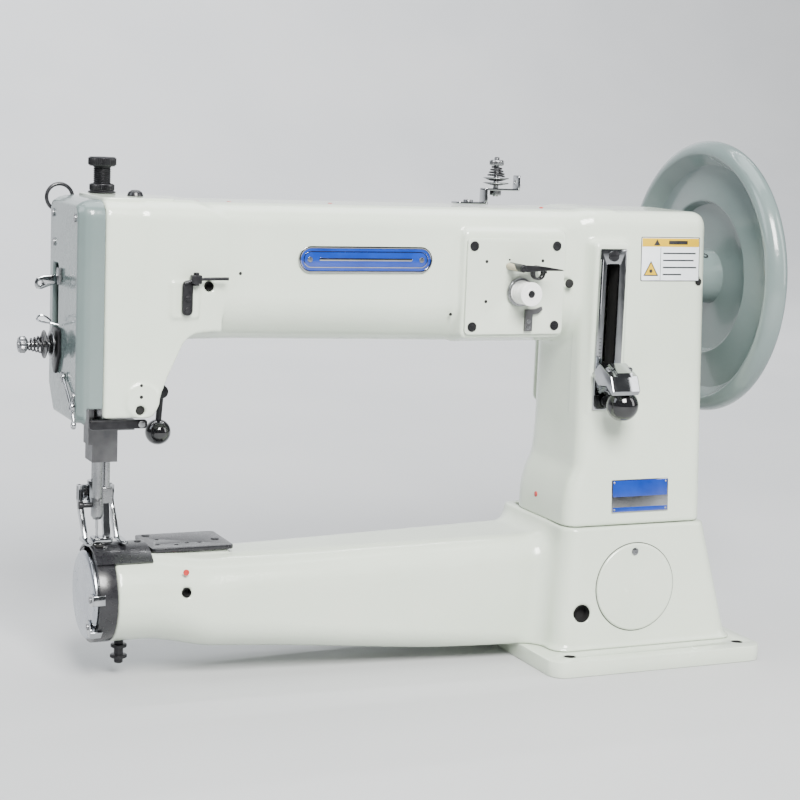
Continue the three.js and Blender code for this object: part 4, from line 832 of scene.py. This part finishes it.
def needle_parts():
    bar = lathe("needle_bar_rod", "z", at_head(-5, 0, 0), [(0, 152), (4, 152), (4, 300), (0, 300)], SATIN, 0.5, 32)
    collar = lathe("needle_bar_collar", "z", at_head(-5, 0, 0), [
        (3.9, 285.5), (5.6, 285.5), (5.6, 298.5), (3.9, 298.5)], SATIN, 0.4, 32, True)
    stud = lathe("needle_bar_stud", "x", at_head(0, 0, 292), [(0, -1.2), (3, -1.2), (3, 9.2), (0, 9.2)], SATIN, 0.3, 24)
    put(joined("needle_bar_rod", bar, collar, stud), "needle_bar", "needle_bar")
    clamp = lathe("needle_clamp_body", "z", at_head(-5, 0, 0), [
        (1.5, 140), (3.6, 140), (5.0, 142.6), (5.2, 144), (5.2, 157.6), (4.35, 157.6), (4.35, 151.7), (1.5, 151.7)],
        SATIN, 0.3, 32, True)
    neck = lathe("needle_clamp_neck", "x", at_head(0, 0, 152.2), [(0, -17), (2.2, -17), (2.2, -9), (0, -9)], BLACK,
                 0.2, 20)
    knob = lathe("needle_clamp_screw", "x", at_head(0, 0, 152.2), [
        (0, -21), (3.0, -21), (3.4, -20.4), (3.4, -17.4), (3.0, -17), (0, -17)], BLACK, 0.2, 24)
    put(clamp, "needle_bar", "needle_clamp")
    put(joined("needle_clamp_screw", knob, neck), "needle_bar")
    needle = lathe("needle_shank", "z", at_head(-5, 0, 0), [
        (0, 112), (0.25, 113), (0.7, 116), (1.0, 119), (1.0, 130), (1.2, 133), (1.2, 149.5), (0, 149.5)], CHROME, 0.2, 20)
    put(needle, "needle_bar", "needle")
    bar = lathe("inner_foot_bar", "z", at_head(4.5, 9, 0), [(0, 152), (3.6, 152), (3.6, 270), (0, 270)], SATIN, 0.4, 32)
    holder = prism("inner_foot_holder", "x", HEAD + 0.8, HEAD + 10, [rounded(5.3, 13.2, 150, 166, 1.4)], SATIN, 0.7)
    grub = screw("inner_foot_screw", "x", at_head(0.9, 9.2, 158), 2.6, 2.0, -1, BLACK)
    shank = prism("inner_foot_shank", "x", HEAD + 1.5, HEAD + 7.5, [
        [(5, 152), (13, 152), (12, 143), (9.4, 134), (7.4, 128), (6.2, 123), (0.2, 122.6), (0.6, 128), (2.2, 136),
         (3.6, 144)]], CHROME, 0.9)
    sole = prism("inner_foot_sole", "z", 119.6, 124, [
        rounded(HEAD - 9, HEAD + 8, -6, 9, 2.4), circle(HEAD - 5, 0, 2.2, 20)], CHROME, 0.8)
    put(joined("inner_foot_bar", bar, holder, shank, sole), "inner_foot", "inner_foot")
    put(grub, "inner_foot")


def presser_parts():
    bar = lathe("presser_bar_rod", "z", at_head(2, 27, 0), [(0, 150), (5, 150), (5, 334), (0, 334)], SATIN, 0.5, 36)
    collar = lathe("presser_bar_collar", "z", at_head(2, 27, 0), [
        (4.9, 288), (8.5, 288), (8.5, 300), (4.9, 300)], IRON, 0.5, 36, True)
    arm = prism("presser_bar_arm", "z", 290, 298, [rounded(HEAD + 8, HEAD + 34, 23, 31, 2)], IRON, 0.7)
    put(joined("presser_bar_rod", bar, collar), "presser", "presser_bar")
    put(arm, "presser")
    holder = lathe("outer_foot_holder", "z", at_head(2, 27, 0), [
        (5.3, 149.7), (5.3, 168), (8.5, 168), (8.5, 146), (0, 146), (0, 149.7)], CHROME, 0.6, 40)
    yoke = prism("outer_foot_yoke", "z", 150, 164, [rounded(HEAD - 14.5, HEAD + 17, 27.4, 33, 1.5),
                                                     ], CHROME, 1.0)
    side = [(25, 164), (33, 164), (33, 150), (28, 141), (16, 126), (10, 119.8), (4, 119.8), (6.6, 124.5), (12, 132),
            (20, 144), (25, 152)]
    left = prism("outer_foot_left", "x", HEAD - 14.5, HEAD - 10.5, [side], CHROME, 0.8)
    right = prism("outer_foot_right", "x", HEAD + 13, HEAD + 17, [side], CHROME, 0.8)
    toes = [prism(f"outer_foot_toe_{k}", "z", 119.6, 122.6, [rounded(a, b, -14, 14, 3)], CHROME, 0.7)
            for k, (a, b) in enumerate(((HEAD - 17, HEAD - 10.5), (HEAD + 13, HEAD + 19)))]
    put(joined("outer_foot", holder, yoke, left, right, *toes), "presser", "presser_foot")
    put(screw("outer_foot_screw", "x", at_head(-6.4, 27, 158), 3.2, 2.6, -1, BLACK), "presser")
    knob = lathe("pressure_knob", "z", at_head(2, 27, 0), [
        (0, 435.5), (10.4, 435.5), (11.3, 436.6), (11.3, 442.2), (10.4, 443.2), (5, 443.2), (4.4, 442.6), (0, 442.6)],
        BLACK, 0.3, 64)
    ridges = prism("pressure_knob_grip", "z", 436.6, 442.2, [knurl(HEAD + 2, 27, 11.75, 46, 0.7)], BLACK, 0.15)
    thread = [(0, 358)]
    for k in range(46):
        z = 358.6 + 1.65 * k
        thread += [(7.5, z), (7.5, z + 0.35), (6.75, z + 0.95), (6.75, z + 1.25)]
    thread += [(7.4, 434.6), (7.4, 435.8), (0, 435.8)]
    shaft = lathe("pressure_screw_shaft", "z", at_head(2, 27, 0), thread, BLACK, 0.05, 40)
    put(joined("pressure_screw_shaft", shaft, knob, ridges), "pressure_screw", "pressure_screw")
    nut = lathe("pressure_nut", "z", at_head(2, 27, 0), [
        (7.8, 413.2), (11.6, 413.2), (11.8, 414.4), (9.9, 415.2), (9.9, 420.4), (9.4, 421), (7.8, 421)], BLACK, 0.3, 48,
        True)
    grip = prism("pressure_nut_grip", "z", 415.6, 420.2, [
        knurl(HEAD + 2, 27, 10.5, 40, 0.6), circle(HEAD + 2, 27, 8, 32)], BLACK, 0.15)
    put(joined("pressure_nut", nut, grip), "pressure_lock_nut", "pressure_lock_nut")


def lifter():
    boss = lathe("lifter_boss", "y", at_head(26, 0, 272), [
        (0, 36), (5, 36), (5, 45), (8, 45), (8, 51), (6, 52.5), (0, 52.5)], BLACK, 0.5, 32)
    lever = prism("lifter_lever", "y", 45, 51, [
        [(HEAD + u, v) for u, v in capsule(26, 272, 8, 64, 240, 6)]], BLACK, 1.4)
    handle = tube("lifter_handle", [at_head(64, 48.5, 241), at_head(63.6, 49.5, 232), at_head(63, 50.6, 220),
                                    at_head(62.5, 51, 209)], 2.7, BLACK)
    knob = lathe("lifter_ball", "z", at_head(62.5, 51, 204), [
        (11.4 * math.sin(a), 11.4 * math.cos(a)) for a in (math.pi * k / 20 for k in range(21))], PLASTIC, 0, 48)
    put(joined("lifter_lever", lever, boss, handle), "lifter", "presser_lifter")
    put(knob, "lifter")


def take_up():
    boss = lathe("take_up_boss", "x", at_head(0, -30, 318), [
        (4.4, -31), (8, -31), (8, -24), (4.4, -24)], SATIN, 0.5, 32, True)
    arm = prism("take_up_arm", "x", HEAD - 30, HEAD - 27, [capsule(-30, 318, 6, 18, 342, 4)], SATIN, 0.8)
    tab = prism("take_up_tab", "y", 16.6, 19.4, [
        [(HEAD + x, z) for x, z in ((-27.5, 338), (-27.5, 345), (-38, 345.4), (-49, 344.4), (-54.6, 342.4), (-56, 339.4),
                                    (-56, 336), (-54.6, 333.6), (-50.6, 333), (-43, 336), (-36, 338))],
        circle(HEAD - 52, 338.4, 1.8, 20)], CHROME, 0.9)
    put(joined("take_up_arm", arm, boss, tab), "take_up", "take_up_lever")
    eye = lathe("take_up_eye", "y", at_head(-52, 18, 338.4), [
        (1.8, -1.8), (3.0, -1.9), (3.4, 0), (3.0, 1.9), (1.8, 1.8)], CHROME, 0.2, 28, True)
    put(eye, "take_up")


def helix(axis, centre, start, end, r0, r1, turns, wire, name, material, phase=0.0):
    points = []
    count = int(turns * 14)
    turn = AXES[axis]
    for k in range(count + 1):
        t = k / count
        angle = phase + 2 * math.pi * turns * t
        r = r0 + (r1 - r0) * t
        points.append(tuple(turn @ Vector((r * math.cos(angle), r * math.sin(angle), start + (end - start) * t))
                            + Vector(centre)))
    return tube(name, points, wire, material, resolution=2)


def tension_unit():
    at = at_head(0, 10, 288)
    post = lathe("tension_post", "x", at, [(0, -72), (2.2, -72), (2.6, -71.4), (2.6, -29.5), (0, -29.5)], SATIN, 0.2, 24)
    thread = lathe("tension_post_boss", "x", at, [
        (2.4, -44.4), (6, -44.4), (6, -38.4), (2.4, -38.4)], BLACK, 0.4, 32, True)
    plate = prism("tension_base_plate", "x", HEAD - 41, HEAD - 38.3, [
        [(y + 10, z + 288) for y, z in ((-12, 12), (-9, 14), (9, 14), (11, 11), (11, -10), (6, -20), (3, -24), (-2, -24),
                                        (-6, -18), (-12, -8))]], BLACK, 0.6)
    put(joined("tension_base_plate", plate, thread, post), "machine", "tension_bracket")
    discs = [lathe(f"tension_disc_{k}", "x", at, profile, SATIN if k else BLACK_GLOSS, 0.2, 48, True) for k, profile in enumerate((
        [(2.9, -48), (7, -48), (11.7, -50), (11.9, -49.6), (11.7, -49.2), (7, -47.3), (2.9, -47.3)],
        [(2.9, -45.4), (7, -45.4), (11.7, -43.4), (11.9, -43.8), (11.7, -44.2), (7, -46.2), (2.9, -46.2)]))]
    put(discs[0], "machine", "tension_discs")
    put(discs[1], "machine")
    coil = helix("x", at, -50.9, -62.6, 7.5, 4.4, 4, 0.75, "tension_coil", SPRING)
    put(coil, "machine", "tension_spring")
    nut = lathe("tension_thumb_nut", "x", at, [
        (2.9, -64), (5, -64), (6.6, -65.4), (6.6, -70), (5.8, -71), (2.9, -71)], SATIN, 0.3, 40, True)
    grip = prism("tension_nut_grip", "x", HEAD - 69.8, HEAD - 65.6, [knurl(10, 288, 7.0, 30, 0.5), circle(10, 288, 5, 24)],
                 SATIN, 0.12)
    put(joined("tension_thumb_nut", nut, grip), "tension_nut", "tension_nut")
    wire = [at_head(x, y + 10, z + 288) for x, y, z in (
        (-39.5, -8, 17), (-45, -7.5, 18.5), (-52, -4, 19), (-56.5, 1, 20.5), (-53, 5, 24), (-47, 3, 23),
        (-44.5, -1, 19.8))]
    put(tube("check_spring_wire", wire, 0.8, CHROME, resolution=3), "check_spring", "check_spring")
    screw_head = screw("face_guide_screw", "x", at_head(-39.4, -16, 264), 4.3, 2.2, -1, SATIN)
    wire = tube("face_guide_wire", [at_head(-40, -17, 264), at_head(-40.2, -30, 256), at_head(-40.4, -42, 247),
                                    at_head(-40.2, -50, 240), at_head(-40, -53, 233)], 1.3, CHROME)
    eyes = [lathe(f"face_guide_eye_{k}", "x", at_head(-40.1, y, z), [
        (b, -1.3), ((a + b) / 2, -1.7), (a, -1.3), (a, 1.3), ((a + b) / 2, 1.7), (b, 1.3)], CHROME, 0.3, 28, True)
        for k, (y, z, a, b) in enumerate(((-47, 244, 4.5, 2.2), (-53, 230, 3.4, 1.5)))]
    put(joined("face_guide_wire", wire, *eyes, screw_head), "machine", "face_thread_guide")
    for k, (y, z) in enumerate(((-42, 396), (30, 396), (-44, 252), (26, 372))):
        put(screw(f"face_plate_screw_{k}", "x", at_head(-37.9, y, z), 3.4, 1.5, -1, SATIN), "machine")
    clip = prism("face_plate_clip", "x", HEAD - 40.4, HEAD - 38.1, [
        [(-2, 352), (8, 352), (9.4, 346), (4, 338), (-3, 341)]], SATIN, 0.5)
    put(clip, "machine")


def guides():
    ring = lathe("top_eyelet_ring", "y", at_head(-29, 46.5, 408), [
        (11.1 + 1.6 * math.cos(a), 1.6 * math.sin(a)) for a in (2 * math.pi * k / 12 for k in range(12))], BLACK_GLOSS,
        0, 48, True)
    foot = prism("top_eyelet_foot", "y", 44.9, 48.1, [rounded(HEAD - 31.4, HEAD - 26.6, 386, 399, 2)], BLACK_GLOSS, 0.5)
    put(joined("top_eyelet_ring", ring, foot), "machine", "top_thread_eyelet")
    strip = prism("side_guide_strip", "y", -61.8, -59.4, [rounded(HEAD + 46.5, HEAD + 55.5, 319, 348, 4.2)], BLACK, 0.5)
    block = prism("side_guide_block", "y", -65, -59.2, [rounded(HEAD + 53, HEAD + 62, 345.2, 352.5, 1.2)], BLACK, 0.8)
    arm = tube("side_guide_rod", [at_head(48, -63, 345.5), at_head(54, -63, 348.6), at_head(70, -63, 349.4),
                                  at_head(85, -63, 349.4)], 1.35, BLACK)
    knob = lathe("side_guide_stud", "z", at_head(57.5, -62.5, 0), [
        (0, 343.6), (2.4, 343.6), (2.4, 354), (1.8, 354.6), (0, 354.6)], BLACK, 0.5, 28)
    put(joined("side_guide_strip", strip, block, arm, knob), "machine", "side_thread_guide")
    for k, z in enumerate((323.5, 333)):
        put(screw(f"side_guide_screw_{k}", "y", at_head(51, -61.7, z), 2.3, 1.1, material=BLACK), "machine")


# ------------------------------------------------------------------ hook end, needle plate, table plate
def hook_end():
    at = at_head(0, 0, HOOK_Z)
    cut = math.asin(13 / 41)
    outline = []
    for k in range(49):
        a = math.pi / 2 + cut + (2 * math.pi - 2 * cut) * k / 48
        outline.append((41 * math.cos(a), HOOK_Z + 41 * math.sin(a)))
    for k in range(49):
        a = math.pi / 2 - cut * 41 / 33 - (2 * math.pi - 2 * cut * 41 / 33) * k / 48
        outline.append((33 * math.cos(a), HOOK_Z + 33 * math.sin(a)))
    put(prism("race_ring_body", "x", HEAD - 12, HEAD + 3.7, [outline], BLACK_GLOSS, 0.8), "machine", "race_ring")
    cover = lathe("race_cover_disc", "x", at, [
        (0, -16.3), (22, -16.5), (34.5, -16.2), (37.2, -15.2), (37.6, -14), (37.6, -12.3), (26, -12.3), (26, -14.2),
        (0, -14.6)], SATIN_DISC, 0.6, 96)
    put(cover, "machine", "race_cover")
    for k, angle in enumerate((130, 84)):
        turn = Matrix.Translation(at) @ Matrix.Rotation(math.radians(angle), 4, "X")
        tab = prism(f"race_clip_{k}", "x", -18.3, -16.7, [rounded(-5.2, 5.2, 27.5, 43.2, 4.6, 8)], CHROME, 0.6)
        lip = prism(f"race_clip_lip_{k}", "x", -18.2, -8, [rounded(-4.2, 4.2, 41.5, 43.1, 0.7)], CHROME, 0.4)
        pin = screw(f"race_clip_screw_{k}", "x", (-18.2, 0, 33.5), 2.7, 1.2, -1, SATIN)
        for obj in (tab, lip, pin):
            moved(obj, turn)
        clip = joined(f"race_clip_{k}", tab, lip, pin)
        if k == 0:
            put(clip, "machine", "race_latch")
        else:
            put(clip, "machine")
    arc = []
    for k in range(41):
        a = math.radians(196 - 212 * k / 40)
        arc.append((43.8 * math.cos(a), HOOK_Z + 43.8 * math.sin(a)))
    for k in range(41):
        a = math.radians(-16 + 212 * k / 40)
        arc.append((41.3 * math.cos(a), HOOK_Z + 41.3 * math.sin(a)))
    half = [p for p in arc]
    bottom = HOOK_Z + 30
    half = [(y, z) for y, z in arc if z > bottom]
    rear = prism("needle_plate_shell", "x", HEAD - 12, HEAD + 37, [half], BLACK_GLOSS, 0.6)
    put(rear, "machine", "needle_plate")
    top = HOOK_Z + 43.8
    # painted shade: a dark insert in the needle plate's slot stands for the shade in it
    slot = prism("needle_slot_shade", "z", top - 0.8, top + 0.22, [rounded(HEAD - 8.6, HEAD - 1.4, -12, 12, 2.2)], PAINTED_SHADE, 0.1)
    put(slot, "machine")
    for k, (x, y) in enumerate(((HEAD + 8, -9), (HEAD + 8, 9), (HEAD + 31, 0))):
        z = HOOK_Z + math.sqrt(43.8 ** 2 - y * y)
        head = screw(f"needle_plate_screw_{k}", "z", (0, 0, 0), 3.0, 0.5, 1, BLACK)
        turn = Matrix.Translation((x, y, z - 0.1)) @ Matrix.Rotation(-math.atan2(y, 43.8), 4, "X")
        put(moved(head, turn), "machine")
    bars = [prism(f"feed_row_{k}", "x", x0, x1, [
        [(y, HOOK_Z + z) for y, z in [(-6.5, 36.1)] + [
            (-6.5 + 0.5 * j, 44.2 if j % 2 == 0 else 43.3) for j in range(27)] + [(6.5, 36.1)]]], STEEL, 0.1)
        for k, (x0, x1) in enumerate(((HEAD - 8, HEAD - 6.4), (HEAD - 3.6, HEAD - 2)))]
    base = prism("feed_base", "z", HOOK_Z + 36.1, HOOK_Z + 41, [
        rounded(HEAD - 8, HEAD - 2, -6.5, 6.5, 0.8), circle(HEAD - 5, 0, 1.9, 20)], STEEL, 0.3)
    put(joined("feed_row_0", bars[0], bars[1], base), "feed", "feed_dog")


def table_parts():
    holes = [circle(HEAD + x, y, 1.8, 20) for x, y in ((53, 17), (48, -2), (64, -5), (75, 0), (86, -1))]
    plate = prism("work_table_plate", "z", 111.5, 115, [rounded(HEAD + 39.5, HEAD + 112, -18, 40, 4), *holes],
                  BLACK_GLOSS, 0.5)
    put(plate, "machine", "table_plate")
    for k, (x, y) in enumerate(((48, 34), (103, 8))):
        put(screw(f"table_screw_{k}", "z", at_head(x, y, 114.7), 3.6, 0.8, 1, BLACK), "machine")
    lower = lathe("latch_screw_body", "z", at_head(16, 0, 0), [
        (0, 13), (3.2, 13), (3.8, 13.6), (3.8, 17.2), (6.6, 17.6), (7, 18.2), (7, 20), (6.6, 20.5), (4, 20.7), (4, 26.7),
        (6.8, 26.9), (7, 27.4), (7, 29.2), (6.6, 29.6), (4, 29.8), (4, 45), (0, 45)], BLACK, 0.25, 40)
    grip = prism("latch_screw_grip", "z", 17.9, 20.2, [knurl(HEAD + 16, 0, 7.3, 28, 0.5)], BLACK, 0.1)
    put(joined("latch_screw_body", lower, grip), "latch_screw", "latch_screw")


# ------------------------------------------------------------------ stitch lever
def stitch_lever():
    turn = Matrix.Translation((-46.5, 0, 312)) @ Matrix.Rotation(math.radians(36), 4, "X")
    barrel = lathe("lever_barrel", "x", (0, 0, 0), [(0, -15.5), (4, -15.5), (4, -7), (9, -7), (9, 7), (4, 7), (4, 22),
                                                    (0, 22)], IRON, 0.5, 32)
    rod = lathe("lever_rod", "y", (0, 0, 0), [(0, -112), (4, -108), (4.3, -96), (4.8, -60), (5, 0), (0, 0)], CHROME,
                0.5, 32)
    ball = lathe("lever_ball", "y", (2.6, -119, -1.8), [
        (14.6 * math.sin(a), -14.6 * math.cos(a)) for a in (math.pi * k / 24 for k in range(25))], PLASTIC, 0, 56)
    body = joined("lever_rod", rod, barrel)
    block = prism("lever_clamp_block", "x", -17.5, 10.5, [
        [(-85.5, 5.3), (-90, 22), (-112, 27), (-124, 20), (-124, 15.5), (-112, 15), (-101, 5.3)]], CHROME, 1.2)
    cap = prism("lever_clamp_cap", "x", -11, 5, [[(-92, 21.6), (-94, 25.4), (-110, 29.2), (-113, 26.4)]], CHROME, 0.8)
    put(moved(body, turn), "stitch_lever", "stitch_lever")
    put(moved(ball, turn), "stitch_lever")
    put(moved(block, turn), "stitch_lever", "stitch_lever_block")
    put(moved(cap, turn), "stitch_lever")
    for k, x in enumerate((-14.2, 7.6)):
        pin = screw(f"lever_clamp_screw_{k}", "z", (x, -101, 24.2), 2.5, 1.6, 1, SATIN)
        put(moved(pin, turn), "stitch_lever")


# ------------------------------------------------------------------ bobbin winder
def winder():
    at = (-135.5, -62.2, 338.5)
    disc = lathe("winder_drive_disc", "y", at, [
        (3.1, -4), (12, -4), (12.6, -3.4), (12.6, -1.2), (12, -0.6), (3.1, -0.6)], SATIN, 0.3, 48, True)
    spindle = lathe("winder_spindle_rod", "y", at, [
        (0, -25), (2.2, -25), (3, -23.6), (3, 22), (0, 22)], BLACK, 0.3, 28)
    drive = lathe("winder_friction_wheel", "y", at, [
        (2.9, 9), (13.6, 9), (14.5, 10), (14.5, 15), (13.6, 16), (2.9, 16)], IRON, 0.4, 48, True)
    put(joined("winder_spindle_rod", spindle, disc, drive), "winder", "winder_spindle")
    spool = lathe("winder_bobbin_spool", "y", at, [
        (3.3, -24), (4.4, -24.2), (5.2, -23.6), (10.2, -23.8), (10.6, -23.2), (10.4, -22.6), (7.6, -22.4), (7.6, -5.8),
        (10.4, -5.6), (10.6, -5), (10.2, -4.4), (3.3, -4.4)], BOBBIN_WHITE, 0.2, 56, True)
    wound = []
    for k in range(34):
        y = -22.2 + 16.2 * k / 33
        wound.append((9.75 + 0.16 * (k % 2) + 0.25 * math.sin(k * 0.5), y))
    thread = lathe("wound_thread", "y", at, [(7.4, -22.3), *wound, (7.4, -5.9)], THREAD, 0.02, 56, True)
    put(spool, "winder", "winder_bobbin")
    put(thread, "winder")
    post = lathe("trip_post", "y", (at[0] - 9.6, at[1], at[2] + 22.5), [
        (0, -26), (2.9, -26), (3.5, -25.2), (3.5, -0.3), (0, -0.3)], BLACK, 0.4, 36)
    blade = prism("trip_blade", "y", at[1] - 26, at[1] - 23.5, [
        [(at[0] + x, at[2] + z) for x, z in ((-13, 20.2), (-12.6, 24.6), (-6, 25.4), (12, 24.2), (28, 21.8),
                                             (30, 20.6), (12, 20.6), (-6, 19.4))]], BLACK, 0.5)
    arm = prism("trip_arm", "z", at[2] + 21.6, at[2] + 23.2, [
        rounded(at[0] - 5, at[0] + 15, at[1] - 25, at[1] - 8, 1.5)], BLACK, 0.5)
    ring = helix("y", (at[0] + 12.4, at[1], at[2] + 17.6), -15, -5, 5.6, 5.6, 3.5, 0.9, "trip_spring", SPRING)
    put(joined("trip_post", post, blade, arm), "winder_trip", "winder_trip_lever")
    put(screw("trip_screw", "y", (at[0] - 9.6, at[1] - 25.9, at[2] + 22.5), 2.4, 1.1, -1, BLACK), "winder_trip")
    put(ring, "winder_trip")


# ------------------------------------------------------------------ pre-tension on the arm's top
def pretension():
    x0 = -131.7
    foot = prism("pretension_foot", "z", 411.3, 413.4, [rounded(x0 - 41, x0 - 10, -8, 8, 3)], CHROME, 0.4)
    riser = prism("pretension_riser", "x", x0 - 13, x0 - 10, [rounded(-6, 6, 411.8, 425.6, 1)], CHROME, 0.5)
    deck = prism("pretension_deck", "z", 424, 425.8, [
        rounded(x0 - 13, x0 + 22, -6, 6, 2), circle(x0, 0, 2.8, 20)], CHROME, 0.4)
    ear = prism("pretension_ear", "x", x0 + 20, x0 + 22, [rounded(-6, 6, 425, 438, 2), circle(0, 432, 1.7, 20)], CHROME,
                0.4)
    put(joined("pretension_foot", foot, riser, deck, ear), "machine", "pretension_bracket")
    put(screw("pretension_foot_screw", "z", (x0 - 27, 0, 413.3), 4.4, 1.9, 1, SATIN), "machine")
    at = (x0, 0, 0)
    thread = [(0, 418.5)]
    for k in range(16):
        z = 437 + k
        thread += [(2.4, z), (2.4, z + 0.3), (2.1, z + 0.6)]
    post = lathe("pretension_stem", "z", at, [(0, 418.5), (2.4, 418.5), (2.4, 436), *thread[1:], (2.3, 453.6), (0, 454)],
                 SATIN, 0.05, 28)
    nut = prism("pretension_hex", "z", 419.6, 423.7, [circle(x0, 0, 5.8, 6)], SATIN, 0.4)
    put(joined("pretension_stem", post, nut), "machine", "pretension_post")
    discs = [lathe(f"pretension_disc_{k}", "z", at, profile, SATIN, 0.2, 48, True) for k, profile in enumerate((
        [(2.7, 428.6), (5, 428.6), (11.4, 430.2), (11.6, 430.6), (11.4, 431), (5, 429.4), (2.7, 429.4)],
        [(2.7, 433.2), (5, 433.2), (11.4, 435.4), (11.6, 435), (11.4, 434.6), (5, 432.4), (2.7, 432.4)]))]
    put(discs[0], "machine", "pretension_discs")
    put(discs[1], "machine")
    put(helix("z", at, 436.6, 445.2, 8.2, 4, 3.6, 0.75, "pretension_coil", SPRING), "machine", "pretension_spring")
    nut = lathe("pretension_thumb_nut", "z", at, [
        (2.7, 446.2), (5.6, 446.2), (6.2, 446.8), (6.2, 450.4), (5.4, 451.2), (2.7, 451.2)], SATIN, 0.3, 40, True)
    grip = prism("pretension_nut_grip", "z", 446.9, 450.3, [knurl(x0, 0, 6.5, 30, 0.4), circle(x0, 0, 5, 24)], SATIN, 0.1)
    put(joined("pretension_thumb_nut", nut, grip), "pretension_nut", "pretension_nut")


SATIN_DISC = finish("bright_cover", (0.40, 0.42, 0.46), (0.50, 0.52, 0.56), (0.2, 0.3), metal=1.0, patch=40,
                    grain=(600, 0.00001, 3))
MAKERS = [arm_body, bed_body, head_plate, side_cover, rear_cover, winder_plate, slot_plate, labels, casting_details,
          handwheel, needle_parts, presser_parts, lifter, take_up, tension_unit, guides, hook_end, table_parts,
          stitch_lever, winder, pretension]
CARRIED = {
    "main_shaft": STEEL, "front_shaft_bushing": BRONZE, "rear_shaft_bushing": BRONZE, "needle_crank": IRON,
    "needle_bar_frame": IRON, "frame_pivot_pin": STEEL, "needle_bar_link": STEEL, "presser_bar_bushing": BRONZE,
    "presser_spring": SPRING, "shuttle": SATIN, "lower_bobbin": BRONZE, "lower_shaft": STEEL,
    "lower_shaft_bushing": BRONZE, "feed_bar": IRON, "hook_pinion": STEEL, "rocker_segment": IRON,
    "connecting_rod": STEEL,
}


# ------------------------------------------------------------------ the scene
def floor():
    """The studio floor, which curves up behind the object into a plain wall."""
    width, front, bend, radius, height = 9.0, -6.0, 3.2, 2.0, 8.0
    path = [(front, 0.0)]
    path += [(bend + radius * math.sin(a), radius - radius * math.cos(a)) for a in (math.pi / 2 * k / 12 for k in range(13))]
    path.append((bend + radius, height))
    corners = [(x, y, z) for y, z in path for x in (-width, width)]
    faces = [(2 * k, 2 * k + 1, 2 * k + 3, 2 * k + 2) for k in range(len(path) - 1)]
    data = bpy.data.meshes.new("floor")
    data.from_pydata(corners, [], faces)
    data.materials.append(FLOOR)
    for face in data.polygons:
        face.use_smooth = True
    obj = bpy.data.objects.new("floor", data)
    bpy.context.scene.collection.objects.link(obj)


aim_camera()
studio()
floor()
for make in MAKERS:
    make()
for node, material in CARRIED.items():
    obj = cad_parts[node]
    obj.data.materials.clear()
    obj.data.materials.append(material)
